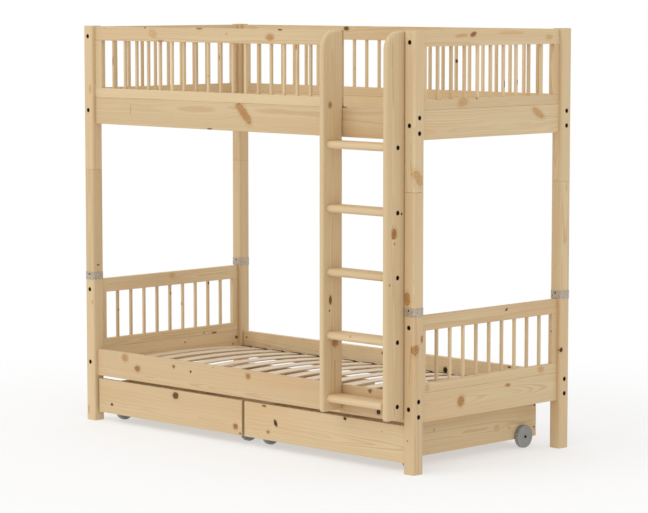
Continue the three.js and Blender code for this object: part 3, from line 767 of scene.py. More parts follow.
def panel(node, along, count, first=STILE):
    """Two rails, two stiles and so many bars, in the box of the node, with equal gaps."""
    low, high = np.array(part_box(node), float)
    axis = "xyz".index(along)
    length, height = high[axis] - low[axis], high[2] - low[2]

    def at(s, z):
        place = (low + high) / 2
        place[axis], place[2] = low[axis] + s, low[2] + z
        return place

    upper, lower = rail_knots.get(node, ([], []))
    # the left panels' rails, seen from inside in shade, are set paler and lighter: painted light
    rail = {"each": 1.1, "radius": BOARD_ROUND, "tone": 0.9 if "left" in node else None}
    parts = [
        wood(at(0, height - TOP_RAIL / 2), along, "z", length, TOP_RAIL, BOARD, upper, **rail),
        wood(at(0, LOW_RAIL / 2), along, "z", length, LOW_RAIL, BOARD, lower, **rail),
    ]
    upright = height - TOP_RAIL - LOW_RAIL
    for s, width in ((first / 2, first), (length - STILE / 2, STILE)):
        parts.append(wood(at(s, LOW_RAIL), "z", along, upright, width, BOARD, each=0.9, radius=0.0012, ease=0.0005))
    gap = (length - first - STILE - count * BAR) / (count + 1)
    for index in range(count):
        place = at(first + gap + BAR / 2 + index * (gap + BAR), LOW_RAIL - TUCK)
        own = bar_knots.get((node, index), ())
        parts.append(wood(place, "z", along, upright + 2 * TUCK, BAR, BAR, own, each=3.2, **BAR_SHAPE))
    planed(node, parts)


for level in ("lower", "upper"):
    for name in ("left", "right"):
        panel(f"{level}_{name}_end_panel", "y", 9)
panel("upper_front_guard", "x", 18, first=0.046)
panel("upper_back_guard", "x", 23)
print("the back guard has", made["upper_back_guard_planed"], "triangles")

# %% [markdown]
# ## Bowed slats of birch
# The slats are thin strips of birch, glued up from veneers over a mould, so that each stands in a low arch and
# gives under weight. They could be flat sticks with a Bend modifier. It is as easy to lift each point by the
# height of the arch where it stands. Veneer has no rings to speak of: its face is pale and its edge shows layers.

# %% The birch finish
BIRCH_PALE = rgb(237, 220, 194)
BIRCH_WARM = rgb(223, 199, 166)
GLUE_LINE = rgb(176, 140, 98)
LAYER = 0.0015  # thickness of a veneer


def birch_finish(name):
    m = Shader(name, BIRCH_PALE, 0.5)
    along, across, thickness = m.split(m.attribute("grain"))
    tone = m.attribute("tone", "Fac")
    fibre = m.noise(m.vector(along * 18, across * 520, thickness * 520), 1.0, 3.0, 0.6)
    wave = m.noise(m.vector(along * 2.5, across * 38, thickness * 30), 1.0, 2.0)
    fleck = m.noise(m.vector(along * 90, across * 900, thickness * 900), 1.0, 1.0).ramp(0.62, 0.72)
    line = (thickness / LAYER).math("FRACT").ramp(0.78, 0.98)
    color = m.mix(wave.ramp(0.35, 0.7) * 0.6 + tone * 0.15 + 0.1, BIRCH_PALE, BIRCH_WARM)
    color = m.mix(line * 0.5, color, GLUE_LINE)
    color = m.mix(fleck * 0.25, color, BIRCH_WARM)
    color = m.mix(1.0, color, m.grey(0.97 + (fibre - 0.5) * 0.1 + tone * 0.02), "MULTIPLY")
    return m.done(color, 0.52 + (fibre - 0.5) * 0.16, height=fibre + line * -0.5, distance=0.00015, strength=0.3)


birch = birch_finish("veneered_birch")

# %% [markdown]
# ## Webbing under the slats' ends
# Two tapes of woven webbing hold each bunk's slats apart, and dip between them. They are near black, which also paints
# the shade at the slats' ends as painted shade. Real threads could be modelled, but they are finer than a pixel, so the
# weave is left to the finish: two sets of threads as crossing waves.

# %% The webbing finish
# near black: the webbing's colour, and also painted shade standing in for the shade at the slats' ends
WEB_DARK_AND_PAINTED_SHADE = rgb(44, 43, 42)
WEB_LIGHT = rgb(72, 70, 68)


def webbing_finish(name):
    """Woven tape: two crossing sets of threads, as the product of two sines of the place."""
    m = Shader(name, WEB_DARK_AND_PAINTED_SHADE, 0.85)
    along, across, _ = m.split(m.attribute("grain"))
    weave = (along * 2600).math("SINE") * (across * 2600).math("SINE") * 0.5 + 0.5
    fuzz = m.noise(m.vector(along * 500, across * 500, 0.0), 1.0, 2.0)
    color = m.mix(weave * 0.6 + fuzz * 0.3, WEB_DARK_AND_PAINTED_SHADE, WEB_LIGHT)
    return m.done(color, 0.8 + fuzz * 0.15, height=weave, distance=0.0003, strength=0.6)


webbing = webbing_finish("dark_webbing_and_painted_shade")

# %% Slats and straps
SLAT_WIDTH, SLAT_THICK, SLAT_PITCH, SLAT_ROUND = 0.066, 0.006, 0.122, 0.0018
BOW = 0.019
STRAP_WIDTH, STRAP_THICK, STRAP_INSET = 0.014, 0.0022, 0.011  # the strap's middle lies so far from a slat's end
STRAP_DIP = 0.0045


def arch(places, half):
    """The height of the bow at a distance from the middle: BOW (1 - (distance / half)^2)."""
    return BOW * (1 - (places / half) ** 2)


for level in ("lower", "upper"):
    low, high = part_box(f"{level}_slat_base")
    half, last = (high.y - low.y) / 2, high.x - SLAT_WIDTH / 2
    middle_y, bottom = (low.y + high.y) / 2, low.z
    slat_places = np.concatenate([[-last], np.arange(-7, 8) * SLAT_PITCH, [last]])

    def bowed(points):
        return points + np.stack([points[:, 0] * 0, points[:, 0] * 0, arch(points[:, 0] - half, half)], axis=-1)

    slats = [
        wood(
            (x, low.y, bottom + SLAT_THICK / 2), "y", "-x", 2 * half, SLAT_WIDTH, SLAT_THICK, each=0, log=False,
            spacing=0.05, bend=bowed, radius=SLAT_ROUND, ease=0.0008,
        )
        for x in slat_places
    ]
    piece(f"{level}_slats", slats, birch, "bed", [f"{level}_slat_base"])

    edges = np.sort(np.concatenate([slat_places - SLAT_WIDTH / 2, slat_places + SLAT_WIDTH / 2]))[1:-1].reshape(-1, 2)
    straps = []
    for side in (-1, 1):
        away = half - STRAP_INSET
        slope = -2 * BOW * away / half**2 * side

        def laid(points):
            """Between two slats the strap drops on to the ledge, by DIP (1 - (2 share - 1)^4) at a share of the gap."""
            x = points[:, 0] + low.x
            share = np.clip((x[:, None] - edges[:, 0]) / (edges[:, 1] - edges[:, 0]), 0, 1)
            hang = STRAP_DIP * (1 - (2 * share - 1) ** 4).sum(axis=1)
            return points + np.stack([x * 0, x * 0, points[:, 1] * slope - hang], axis=-1)

        height = bottom + arch(away, half) + SLAT_THICK + STRAP_THICK / 2
        straps.append(
            wood(
                (low.x, middle_y + side * away, height), "x", "y", high.x - low.x, STRAP_WIDTH, STRAP_THICK, each=0,
                log=False, spacing=0.005, bend=laid, radius=0.0004, ease=0.0002, steps=2,
            )
        )
    piece(f"{level}_slat_straps", straps, webbing, "bed")
print("17 slats on each bunk; one bunk's slats have", made["lower_slats"], "triangles")

# %% [markdown]
# ## The ladder's stiles
# A stile is a board cut to an outline, with a wide sweep at its top front, and then run round with a rounding
# cutter. It could be a flat shape with a Bevel modifier. Made as a grid, it keeps rows across its faces, which
# the knots and the bolt holes need, and each row of the face runs on into a column of the round edge.

# %% The flat face of a stile
STILE_ROUND = 0.010
SWEEP = 0.075 - STILE_ROUND  # the radius of the top front corner, drawn in by the rounding
FOOT = 0.012 - STILE_ROUND  # and of the other corners
BOLT_CELL = BOLT_HOLE + HOLE_MARGIN
CLOSE = 1e-6  # a difference too small to count


def row_ends(s, length, half):
    """Where a row at height s begins and ends, on an outline already drawn in by the rounding.

    A corner of radius r takes r - sqrt(r^2 - (r - d)^2) off the row, where d is the distance to the end.
    """
    def cut(d, radius):
        return radius - np.sqrt(np.maximum(radius**2 - np.clip(radius - d, 0, radius) ** 2, 0))

    below = cut(s, FOOT)
    return -half + np.maximum(below, cut(length - s, SWEEP)), half - np.maximum(below, cut(length - s, FOOT))


def stile_face(length, half, heights, hole_at, knots):
    """Points (s, a) of the face: rows up the stile, each with points at the same shares of its length.

    The rows and shares leave a square round each bolt hole. It also gives each square's row and column.
    """
    sweep = 1 - np.cos(np.linspace(0, np.pi / 2, 13))
    foot = FOOT * (1 - np.cos(np.linspace(0, np.pi / 2, 5)))
    between = np.concatenate([
        np.arange(0.01, length - SWEEP, KNOT_STEP), halfway(knots, length - SWEEP) - STILE_ROUND])
    between = between[np.abs(between[:, None] - heights).min(axis=1) > BOLT_CELL + 2 * ROW_MARGIN]
    rows = np.unique(np.round(np.concatenate([
        foot, length - foot, length - SWEEP * sweep, heights - BOLT_CELL, heights + BOLT_CELL, between]), 7))
    start, stop = row_ends(rows, length, half)
    sides = np.array([hole_at - BOLT_CELL, hole_at + BOLT_CELL])
    shares = np.unique(np.concatenate([np.linspace(0, 1, 7), (sides + half) / (2 * half)]))
    shares = shares[np.abs(shares * 2 * half - half - hole_at) > BOLT_CELL - CLOSE]
    a = start[:, None] + (stop - start)[:, None] * shares[None]
    column = int(np.argmin(np.abs(shares * 2 * half - half - sides[0])))
    squares = [(int(np.argmin(np.abs(rows - (height - BOLT_CELL)))), column) for height in heights]
    return np.broadcast_to(rows[:, None], a.shape), a, squares


foot_row, _ = row_ends(np.array([0.0]), 1.6, 0.04)
print("the foot's corner takes", round((foot_row[0] + 0.04) * 1000, 1), "mm off the lowest row")

# %% Stiles
TREAD_BOLT_DEPTH = 0.007
TREAD_BOLT_IN = 0.067  # from the stile's front edge
TREAD_HEIGHTS = 0.286 + 0.2686 * np.arange(5)
EDGE_RINGS = 15  # over the edge, from one face to the other
stile_knots = {
    "left": [
        (1.297, -0.0174, 0.009, 0.45, 1.4), (0.475, -0.0153, 0.008, 0.75, 2.3),
        (0.429, -0.0213, 0.004, 0.85, 1.0), (0.290, 0.0127, 0.017, 0.4, 0.9),
        (0.145, 0.011, 0.004, 0.05, 24.0),
    ],
    "right": [
        (0.858, 0.030, 0.005, 0.8, 1.0), (0.776, -0.015, 0.0135, 0.5, 1.7),
        (0.567, -0.040, 0.0035, 0.6, 1.2), (0.736, -0.012, 0.005, 0.3, 1.0),
    ],
}


def stile(length, width, thick, hole_side, hole_heights, hole_at, knots, tone):
    """A stile from 0 to its length along s, its front at -a: two flat faces, and the rounded edge between them.

    The edge is two quarter circles with a flat between. A ring of it is the face's rim carried r sin(turn)
    outwards, and lies r cos(turn) beyond the flat, to the one side and then the other.
    """
    inner, half = length - 2 * STILE_ROUND, width / 2 - STILE_ROUND
    heights = np.asarray(hole_heights) - STILE_ROUND
    s, a, squares = stile_face(inner, half, heights, hole_at, knots)
    index = np.arange(a.size).reshape(a.shape)
    rim = np.concatenate([index[0, :-1], index[:-1, -1], index[-1, :0:-1], index[:0:-1, 0]])
    rim_s, rim_a = s.ravel()[rim], a.ravel()[rim]
    centre_s = np.clip(rim_s, FOOT, inner - np.where(rim_a < 0, SWEEP, FOOT))
    centre_a = np.clip(rim_a, -half + np.where(rim_s > inner / 2, SWEEP, FOOT), half - FOOT)
    way = np.stack([rim_s - centre_s, rim_a - centre_a])
    way = way / np.maximum(np.hypot(*way), 1e-9)
    turn = np.linspace(0, np.pi, EDGE_RINGS)
    flat = thick / 2 - STILE_ROUND
    reach = STILE_ROUND * np.sin(turn)
    depth = STILE_ROUND * np.cos(turn) + np.where(turn < np.pi / 2 - CLOSE, flat, -flat)
    depth[EDGE_RINGS // 2] = 0
    band = np.stack([
        rim_s[None] + reach[:, None] * way[0], rim_a[None] + reach[:, None] * way[1],
        np.broadcast_to(depth[:, None], (EDGE_RINGS, len(rim)))], axis=-1)
    flats = [np.stack([s, a, np.full(a.shape, sign * thick / 2)], axis=-1).reshape(-1, 3) for sign in (1, -1)]
    points = np.concatenate([*flats, band[1:-1].reshape(-1, 3)])
    inside = 2 * a.size + np.arange((EDGE_RINGS - 2) * len(rim)).reshape(EDGE_RINGS - 2, -1)
    rings = np.concatenate([rim[None], inside, rim[None] + a.size])
    beside = np.roll(rings, -1, axis=1)
    around = np.stack([rings[:-1], rings[1:], beside[1:], beside[:-1]], axis=-1).reshape(-1, 4)
    grid = np.stack([index[:-1, :-1], index[1:, :-1], index[1:, 1:], index[:-1, 1:]], axis=-1)
    whole, keep = np.ones(grid.shape[:2], bool), np.ones(grid.shape[:2], bool)
    polygons, end, on_top = [], np.zeros(len(points)), hole_side > 0
    for height, (row, column) in zip(heights, squares):
        keep[row, column] = False
        square = grid[row, column][[2, 1, 0, 3]] + (0 if on_top else a.size)
        ring = circle(height, hole_at, BOLT_HOLE)
        levels = [hole_side * (thick / 2 - drop) for drop in (0, TREAD_BOLT_DEPTH)]
        circles = [np.stack([*ring, np.full(HOLE_POINTS, level)], axis=-1) for level in levels]
        points, end, faces = bored(points, end, square, circles, upside_down=on_top)
        polygons += faces
    up, down = (keep, whole) if on_top else (whole, keep)
    faces = grid[up].tolist() + (grid[..., ::-1] + a.size)[down].tolist() + around.tolist() + polygons
    points[:, 0] += STILE_ROUND
    way, kind = knot_fields(points, knots)
    grain = in_log(points, (0.01, 0.045), rng.normal(0, 0.006, 2))
    tones = np.full(len(points), tone)
    return {"points": points, "faces": faces, "end": end, "grain": grain, "knot": way, "knot_kind": kind, "tone": tones}


for name, side, tone in (("left", -1, 0.2), ("right", 1, 0.1)):
    node = f"ladder_stile_{name}"
    low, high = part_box(node)
    middle_y = (low.y + high.y) / 2
    part = stile(
        high.z - low.z, high.y - low.y, high.x - low.x, -side, TREAD_HEIGHTS - low.z,
        low.y + TREAD_BOLT_IN - middle_y, stile_knots[name], tone,
    )
    s, a, b = part["points"].T
    part["points"] = np.stack([(low.x + high.x) / 2 - b, middle_y + a, low.z + s], axis=-1)
    planed(node, [part])
print("a stile has", made["ladder_stile_left_planed"], "triangles")

# %% [markdown]
# ## Treads
# A tread is a flat stick whose long edges are fully round, for bare feet. It is the same stick as a board, with
# an edge radius of nearly half its thickness and more steps round it.

# %% Treads
TREAD_THICK = 0.032
TREAD_SHAPE = {"radius": 0.0157, "ease": 0.0006, "steps": 10}
tread_knots = {1: [(0.329, -0.040, 0.010, 0.35, 1.0), (0.163, -0.02, 0.006, 0.1, 1.5)]}
for index in range(1, len(TREAD_HEIGHTS) + 1):
    node = f"ladder_tread_{index}"
    planed(node, [filled(node, "x", "y", tread_knots.get(index, ()), TREAD_THICK, each=0.6, **TREAD_SHAPE)])
print("a tread has", made["ladder_tread_1_planed"], "triangles")

# %% [markdown]
# ## The drawers
# Each drawer is a low box with a front that hides the wheels. Its front is planed and eased like the bed's boards.
# The rest is plain sawn pine with narrow eased edges, and a thin sheet of hardboard for a bottom.

# %% The hardboard finish
BOARD_BROWN = rgb(176, 148, 112)
BOARD_DARK = rgb(140, 108, 74)


def hardboard_finish(name):
    """Pressed fibres: short streaks one way at a place, and another way a little further on."""
    m = Shader(name, BOARD_BROWN, 0.7)
    x, y, z = m.split(m.attribute("grain"))
    one = m.noise(m.vector(x * 90, y * 900, z * 300), 1.0, 3.0)
    other = m.noise(m.vector(x * 900, y * 90, z * 300), 1.0, 3.0)
    cloud = m.noise(m.vector(x * 9, y * 9, z * 9), 1.0, 2.0)
    pick = m.noise(m.vector(x * 40, y * 40, z * 40), 1.0, 1.0).ramp(0.4, 0.6)
    hair = one * pick + other * (1 - pick)
    color = m.mix(hair.ramp(0.5, 0.75) * 0.6 + (cloud - 0.5) * 0.5, BOARD_BROWN, BOARD_DARK)
    return m.done(color, 0.6 + hair * 0.2, height=hair, distance=0.0002, strength=0.4)


hardboard = hardboard_finish("pressed_hardboard")

# %% Fronts, sides, backs and bottoms
SIDE_THICK = 0.018
SIDE_OUT = 0.39375 + SIDE_THICK  # from the drawer's middle to the outer face of a side
SAWN = {"radius": 0.0012, "ease": 0.0005, "steps": 2}
SCREW_SEAT = (0.0045, 0.0015)  # radius and depth
SCREW_SETBACK = 0.012  # from the back end of a side
SCREW_DROPS = (0.0093, 0.1063)  # down from its top edge
front_knots = {
    "left": [
        (0.091, -0.035, 0.006, 0.9, 1.3), (0.533, 0.054, 0.0152, 0.78, 1.25),
        (0.931, -0.041, 0.012, 0.5, 1.3), (0.960, -0.070, 0.005, 0.5, 1.5),
    ],
    "right": [
        (0.1285, 0.071, 0.005, 0.6, 3.0), (0.1985, 0.002, 0.0095, 0.9, 1.6, -1.1),
        (0.1505, -0.042, 0.007, 0.45, 1.4), (0.6235, 0.071, 0.0065, 0.97, 1.4),
        (0.8385, 0.042, 0.0022, 0.8, 1.0),
    ],
}
side_knots = {
    "drawer_right_side_right": [
        (0.2387, 0.029, 0.003, 0.6, 1.8, 1.4), (0.6407, -0.0097, 0.012, 0.0, 1.3),
        (0.7247, -0.0187, 0.007, 0.0, 1.2),
    ]
}
screw_places = {"left": [], "right": []}
for name, tone in (("left", -0.5), ("right", -0.1)):
    body = f"drawer_{name}"
    low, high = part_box(f"{body}_front")
    centre = (low.x + high.x) / 2
    planed(f"{body}_front", [
        filled(f"{body}_front", "x", "z", front_knots[name], BOARD, each=1.2, radius=BOARD_ROUND, tone=tone)], body)
    for wall, side in (("left", -1), ("right", 1)):
        node = f"{body}_side_{wall}"
        low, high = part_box(node)
        long, tall = high.y - low.y, high.z - low.z
        face, x = (TOP if side > 0 else BOTTOM), centre + side * (SIDE_OUT - SIDE_THICK / 2)
        part = wood(
            (x, low.y, (low.z + high.z) / 2), "y", "z", long, tall, SIDE_THICK, side_knots.get(node, ()), each=0.5,
            holes=[(face, long - SCREW_SETBACK, -side * (tall / 2 - drop), *SCREW_SEAT) for drop in SCREW_DROPS],
            tone=0.2, **SAWN,
        )
        planed(node, [part], body)
        seat = (centre + side * (SIDE_OUT - SCREW_SEAT[1]), high.y - SCREW_SETBACK)
        screw_places[name] += [((*seat, high.z - drop), (side, 0, 0)) for drop in SCREW_DROPS]
    planed(f"{body}_back", [filled(f"{body}_back", "x", "z", each=0.6, **SAWN)], body)
    sheet = filled(f"{body}_bottom", "x", "y", each=0, log=False, radius=0.0006, ease=0.0003, steps=2)
    piece(f"{body}_bottom_sheet", [sheet], hardboard, body, [f"{body}_bottom"])
print("a drawer's front has", made["drawer_left_front_planed"], "triangles")

# %% [markdown]
# ## Turned and pressed parts
# Bolt heads, wheels and spacers are turned parts: one profile carried round an axis. A Screw modifier would do it.
# Here a ring may also be pushed out of round as it goes in, which cuts the six-sided socket for a hex key, or the
# cross for a screwdriver, out of the same grid.

# %% Carry a profile round an axis
SOCKET = 0.0038  # from the middle of a bolt's socket to its corners


def turned(profile, place, axis, sides=32, shape=None, loop=False):
    """Points at place + height * axis + radius (cos, sin) across it, for each (radius, height) of the profile.

    shape is a function of the angle, 1 where the ring is round; a profile point's third number says how much of
    it is used. A loop is a ring with a bore, and else both ends are closed by a flat.
    """
    profile = np.array([(*point, 0.0)[:3] for point in profile], float)
    angle = np.arange(sides) * 2 * np.pi / sides
    push = np.ones(sides) if shape is None else shape(angle)
    radius = profile[:, 0:1] * (1 + profile[:, 2:3] * (push[None] - 1))
    u = np.array(axis, float)
    v = np.array([0, 0, 1.0]) if abs(u[2]) < 0.9 else np.array([1.0, 0, 0])
    w = np.cross(u, v)
    across = np.cos(angle)[:, None] * v + np.sin(angle)[:, None] * w
    points = np.array(place) + profile[:, 1, None, None] * u + radius[..., None] * across[None]
    n = len(profile)
    quads = net(n, sides, loop)[..., [0, 3, 2, 1]].reshape(-1, 4)
    caps = [] if loop else [list(range(sides)), list(range((n - 1) * sides, n * sides))[::-1]]
    own = np.broadcast_arrays(profile[:, 1:2] + 0 * angle, radius * np.cos(angle), radius * np.sin(angle))
    return {
        "points": points.reshape(-1, 3), "faces": quads.tolist() + caps, "grain": np.stack(own, axis=-1).reshape(-1, 3),
    }


def six_sided(angle):
    """The edge of a hexagon at an angle: cos 30 / cos of the angle to the nearest flat."""
    return np.cos(np.pi / 6) / np.cos((angle + np.pi / 6) % (np.pi / 3) - np.pi / 6)


def cross_shaped(angle):
    """Four arms: a third of the radius, and the rest times cos^4 of twice the angle."""
    return 0.34 + 0.66 * np.cos(2 * angle) ** 4


print("a bolt's socket is", round(2 * SOCKET * math.cos(math.pi / 6) * 1000, 1), "mm across its flats")

# %% [markdown]
# ## Two metals
# The bolts, screws and hooks are blackened steel, and the sleeves are zinc plated. Plain grey would do from afar.
# Close to, blackening is cloudy and specked, and zinc grows flat crystals, each a cell with a shade of its own.

# %% The black steel finish
STEEL_DARK, STEEL_LIGHT, STEEL_ROUGH = rgb(15, 11, 9), rgb(31, 26, 22), 0.55


def blackened_finish(name):
    """A slow cloud and fine specks between two near blacks."""
    m = Shader(name, STEEL_DARK, STEEL_ROUGH, gloss=0.1)
    place = m.node("ShaderNodeTexCoord", output="Object")
    cloud = m.noise(place, 35.0, 3.0)
    specks = m.noise(place, 900.0, 2.0)
    color = m.mix(cloud.ramp(0.3, 0.7) * 0.6 + specks.ramp(0.45, 0.7) * 0.4, STEEL_DARK, STEEL_LIGHT)
    rough = STEEL_ROUGH + (cloud - 0.5) * 0.2 + (specks - 0.5) * 0.15
    return m.done(color, rough, height=specks, distance=0.0001, strength=0.3)


black_steel = blackened_finish("blackened_steel")
for name in ("left", "right"):
    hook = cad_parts[f"ladder_hook_{name}"]
    hook.data.materials.clear()
    hook.data.materials.append(black_steel)

# %% The galvanised finish
ZINC, ZINC_DARK, ZINC_LIGHT = rgb(168, 156, 140), rgb(148, 133, 115), rgb(209, 196, 179)


def galvanised_finish(name):
    """Zinc on steel grows flat crystals, each with its own shade, and dulls to a pale grey."""
    m = Shader(name, ZINC, 0.42, 0.5)
    place = m.node("ShaderNodeTexCoord", output="Object")
    crystal = m.node("ShaderNodeTexVoronoi", {"feature": "F1"}, {"Vector": place, "Scale": 210.0}, "Color")
    shade = m.node("ShaderNodeSeparateColor", inputs={"Color": crystal})
    cloud = m.noise(place, 60.0, 3.0)
    level = shade * 0.55 + cloud * 0.45
    color = m.mix(level, ZINC_DARK, ZINC_LIGHT)
    return m.done(color, 0.32 + shade * 0.2 + cloud * 0.12, height=shade, distance=0.00008, strength=0.25)


galvanised = galvanised_finish("galvanised_steel")

# %% [markdown]
# ## Sleeves round the joints
# A sleeve is a strip of sheet metal bent into a square tube. A cube with its ends taken off and a Solidify modifier
# would be near. Here the outline of a stick is carried through a closed profile: up the outside, over the lip and
# down the inside, with a slight wave in its lower edge.

# %% Sleeves
COLLAR_WALL = 0.0013
COLLAR_ROUND = 0.0116
COLLAR_LIP = 0.0004
COLLAR_WAVE = 0.0005
SCREW_DROP = 0.0105  # down from the top of a sleeve, in the middle of its front face


def sleeve(place, width, height):
    """A rounded square carried through a closed profile.

    Its lower half is lifted by wave (1 + sin 3 turn), most of all at its edge.
    """
    ring = outline(width, width, COLLAR_ROUND, 8, {})
    lip, wall = COLLAR_LIP, COLLAR_WALL
    inset, z = np.array([
        (lip, 0), (0, lip), (0, height / 2), (0, height - lip), (lip, height), (wall - lip, height),
        (wall, height - lip), (wall, lip), (wall - lip, 0),
    ]).T
    turn = np.arctan2(ring[1], ring[0])
    wave = COLLAR_WAVE * (1 + np.sin(3 * turn + place[0] * 9)) * np.clip(1 - z[:, None] / (height / 2), 0, 1)
    x, y = drawn_in(ring, inset)
    points = np.stack([x + place[0], y + place[1], z[:, None] + place[2] + wave], axis=-1)
    return {"points": points.reshape(-1, 3), "faces": net(*x.shape, loop=True).reshape(-1, 4).tolist()}


collar_screws = []
for corner, side_x, side_y in CORNERS:
    node = f"joint_collar_{corner}"
    low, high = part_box(node)
    place = ((low.x + high.x) / 2, (low.y + high.y) / 2, low.z)
    piece(node + "_pressed", [sleeve(place, high.x - low.x, high.z - low.z)], galvanised, "bed", [node])
    collar_screws.append(((place[0], low.y, high.z - SCREW_DROP), (0, -1, 0)))
print("a sleeve has", made["joint_collar_front_left_pressed"], "triangles")

# %% [markdown]
# ## Fastenings
# Each head is one profile of (radius, height) turned round its bolt. A third number says how much of the socket's
# shape a point takes, so that the rim stays round and the socket has six sides, or a cross.

# %% Bolts, nuts and screws
BELOW_FACE = 0.0007  # from the wood's face down to a bolt's head
NUT_END = [
    (0.0042, 0), (0.0042, 0.0134), (0.0038, 0.0140), (0.0026, 0.0140), (0.0024, 0.0138, 1), (0.0020, 0.0128, 1),
]
SCREW_HEAD = [
    (0.0044, 0), (0.0043, 0.0010), (0.0033, 0.0014), (0.0022, 0.0013, 0.5), (0.0019, 0.0011, 1), (0.0010, 0.0003, 1),
]
FLAT_SCREW = [(0.0042, -0.0002), (0.0041, 0.0004), (0.0030, 0.0009), (0.0023, 0.0008, 1), (0.0010, 0.0002, 1)]


def bolt_head(top):
    """A head whose top lies so far above the floor of its hole: rounded at its rim, with a six-sided socket."""
    return [
        (0.0098, 0), (0.0098, top - 0.0012), (0.0094, top - 0.0004), (0.0078, top), (0.0042, top, 0.6),
        (SOCKET, top - 0.0003, 1), (0.0037, top - 0.0042, 1),
    ]


def heads(places, profile, shape, sunk=0.0):
    """One turned head for each place and direction, sunk so far below the face."""
    return [turned(profile[::-1], np.array(at) - np.array(out) * sunk, out, 24, shape) for at, out in places]


tread_bolts = []
for name, side in (("left", -1), ("right", 1)):
    low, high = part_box(f"ladder_stile_{name}")
    face = low.x if side < 0 else high.x
    tread_bolts += [((face, low.y + TREAD_BOLT_IN, z), (side, 0, 0)) for z in TREAD_HEIGHTS]
for name, places, depth in (("post", bolt_places, BOLT_DEPTH), ("tread", tread_bolts, TREAD_BOLT_DEPTH)):
    bolts = heads(places, bolt_head(depth - BELOW_FACE), six_sided, depth)
    piece(f"{name}_bolt_heads", bolts, black_steel, "bed")
piece("barrel_nut_ends", heads(nut_places, NUT_END, cross_shaped, NUT_DEPTH), black_steel, "bed")
piece("sleeve_screws", heads(collar_screws, FLAT_SCREW, cross_shaped), black_steel, "bed")
for name in ("left", "right"):
    screws = heads(screw_places[name], SCREW_HEAD, cross_shaped)
    piece(f"drawer_{name}_screws", screws, black_steel, f"drawer_{name}")
print(len(bolt_places) + len(tread_bolts), "bolt heads,", len(nut_places), "nuts,", len(collar_screws), "sleeve screws")

# %% [markdown]
# ## Wheels
# The wheels are moulded in grey plastic: a rim, a thinner web, and a hub round the bolt. Moulded plastic is even
# in colour, with a fine grain from the mould, so its finish varies mostly in gloss. The tread is worn a little.

# %% The plastic finish and the wheels
WHEEL_GREY = rgb(149, 152, 151)
WHEEL_WORN = rgb(126, 127, 125)


def plastic_finish(name):
    m = Shader(name, WHEEL_GREY, 0.5)
    along, x, y = m.split(m.attribute("grain"))
    grain = m.noise(m.vector(along * 900, x * 900, y * 900), 1.0, 2.0)
    scuff = m.noise(m.vector(along * 60, x * 160, y * 160), 1.0, 3.0)
    worn = (x * x + y * y).math("SQRT").ramp(0.047, 0.0495) * scuff.ramp(0.35, 0.7)
    color = m.mix(worn * 0.7 + (scuff - 0.5) * 0.2, WHEEL_GREY, WHEEL_WORN)
    return m.done(color, 0.46 + grain * 0.12 + worn * 0.2, height=grain, distance=0.0001, strength=0.3)


plastic = plastic_finish("moulded_plastic")
WHEEL_PROFILE = [
    (0.0042, -0.0097), (0.0110, -0.0097), (0.0116, -0.0094), (0.0122, -0.0089), (0.0405, -0.0089), (0.0412, -0.0093),
    (0.0422, -0.0097), (0.0475, -0.0098), (0.0490, -0.0091), (0.0498, -0.0073), (0.0500, -0.0040),
]
wheel_loop = WHEEL_PROFILE + [(r, -h) for r, h in WHEEL_PROFILE[::-1]]
AXLE_HEAD = [
    (0.0060, 0), (0.0060, 0.0022), (0.0055, 0.0028), (0.0040, 0.0030), (0.0025, 0.0030, 0.6), (0.0023, 0.0028, 1),
    (0.0022, 0.0010, 1),
]
SPACER = [(0.0080, -0.0005), (0.0080, 0.0006), (0.0076, 0.0010), (0.0038, 0.0010), (0.0038, 0.0224)]
HEAD_OUT = 0.0216  # from a side's outer face to the foot of an axle's head
for name in ("left", "right"):
    axles = []
    low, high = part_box(f"drawer_{name}_front")
    centre = (low.x + high.x) / 2
    for wall, side in (("left", -1), ("right", 1)):
        for end in ("front", "back"):
            node, out = f"drawer_{name}_wheel_{end}_{wall}", (side, 0, 0)
            low, high = np.array(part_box(node), float)
            hub = (low + high) / 2
            piece(
                node + "_moulded", [turned(wheel_loop[::-1], hub, out, 72, loop=True)], plastic, node,
                [node],
            )
            axles.append(turned(SPACER[::-1], (centre + side * SIDE_OUT, *hub[1:]), out, 24))
            foot = (centre + side * SIDE_OUT + side * HEAD_OUT, *hub[1:])
            axles.append(turned(AXLE_HEAD[::-1], foot, out, 24, six_sided))
    piece(f"drawer_{name}_axles", axles, black_steel, f"drawer_{name}")
print("a wheel has", made["drawer_left_wheel_front_left_moulded"], "triangles")

# %% [markdown]
# ## The camera
# The bed is seen from well off to one side, from a little above its top, through a long lens, which keeps the
# uprights upright and nearly parallel. The lens and the place were found by fitting the posts' edges.

# %% Camera
LENS = 148.8  # millimetres, on a sensor 36 millimetres wide
CAMERA_PLACE = (8.5220, -8.4697, 2.0075)
LOOK_DOWN, LOOK_ROUND = 5.697, 44.921  # degrees
camera_data = bpy.data.cameras.new("camera")
camera_data.lens = LENS
camera_data.sensor_width = 36.0
camera_data.clip_end = 200.0
camera = bpy.data.objects.new("camera", camera_data)
camera.location = CAMERA_PLACE
camera.rotation_euler = (math.radians(90 - LOOK_DOWN), 0, math.radians(LOOK_ROUND))
bpy.context.scene.collection.objects.link(camera)
bpy.context.scene.camera = camera
print("the camera stands", round(math.hypot(*camera.location[:2]), 2), "metres away")

# %% [markdown]
# ## Floor, light and background
# The bed stands on a pale floor in soft, even light, brightest on the front. The whole sky lights it gently, and
# two wide suns give the sides their different shades. Further out the floor fades into plain white.

# %% Floor
FLOOR_LIT = (0.96, 0.95, 0.94, 1.0)  # what the floor sends up on to the bed
WHITE = (1.0, 1.0, 1.0, 1.0)
FLOOR_REACH = 30.0  # metres from the middle to its edges
FADE = (1.5, 3.4)  # metres from the middle over which the floor turns to plain white


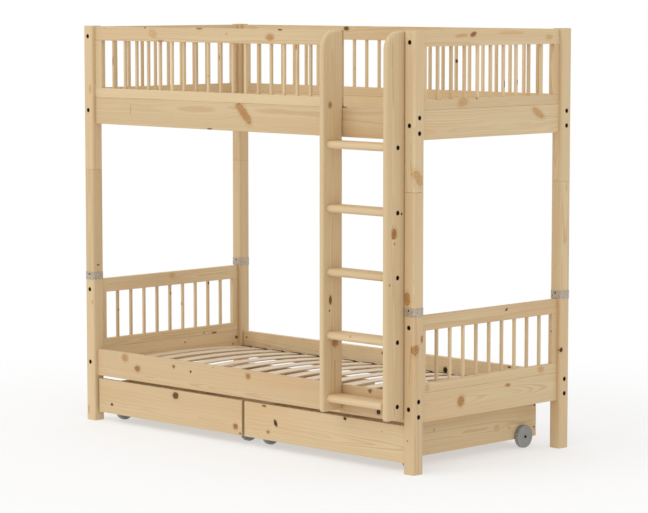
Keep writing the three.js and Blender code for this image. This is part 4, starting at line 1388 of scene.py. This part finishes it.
def shadow_floor():
    """A mix of a matt floor and a glow: half and half near the bed, and nothing but glow beyond the fade."""
    m = Shader("pale_floor", (0.8, 0.8, 0.8, 1.0), 0.9)
    x, y, _ = m.split(m.node("ShaderNodeTexCoord", output="Object"))
    far = 0.5 + (x * x + y * y).math("SQRT").ramp(*FADE) * 0.5
    seen = m.plainly_seen()
    color = m.mix(seen, FLOOR_LIT, WHITE)
    m.links.new(color.socket, m.surface.inputs["Base Color"])
    glow = m.node("ShaderNodeEmission", inputs={"Color": WHITE, "Strength": 0.9 + seen * 0.1})
    both = m.node("ShaderNodeMixShader", inputs={0: far, 1: Value(m, m.surface.outputs[0]), 2: glow})
    m.links.new(both.socket, m.nodes["Material Output"].inputs["Surface"])
    return m.material


floor_mesh = bpy.data.meshes.new("floor")
corners = [(FLOOR_REACH * x, FLOOR_REACH * y, 0) for x, y in ((-1, -1), (1, -1), (1, 1), (-1, 1))]
floor_mesh.from_pydata(corners, [], [(0, 1, 2, 3)])
floor_mesh.materials.append(shadow_floor())
floor = bpy.data.objects.new("floor", floor_mesh)
bpy.context.scene.collection.objects.link(floor)
print("the floor is plain white beyond", FADE[1], "metres")

# %% Light and background
SKY = 0.82
world = bpy.data.worlds.new("studio")
bpy.context.scene.world = world
world.use_nodes = True
studio = Tree(world.node_tree)
sky_level = SKY + studio.plainly_seen() * (1 - SKY)
backdrop = studio.node("ShaderNodeBackground", inputs={"Color": WHITE, "Strength": sky_level})
studio.links.new(backdrop.socket, studio.nodes["World Output"].inputs["Surface"])


def sun(name, toward, strength, spread):
    """A sun whose light comes from a direction, as wide as a large lamp so that its shadows are soft."""
    data = bpy.data.lights.new(name, "SUN")
    data.energy, data.angle = strength, math.radians(spread)
    lamp = bpy.data.objects.new(name, data)
    x, y, z = toward
    lamp.rotation_euler = (math.atan2(math.hypot(x, y), z), 0, math.atan2(x, -y))
    bpy.context.scene.collection.objects.link(lamp)


sun("front_light", (-0.25, -0.9, 0.75), 0.64, 50)
sun("side_light", (0.9, -0.35, 0.8), 0.05, 60)
bpy.context.scene.view_settings.view_transform = "Standard"
print("the sky's strength is", SKY)

# %% Sizes counted
print(len(made), "pieces with", sum(made.values()), "triangles")
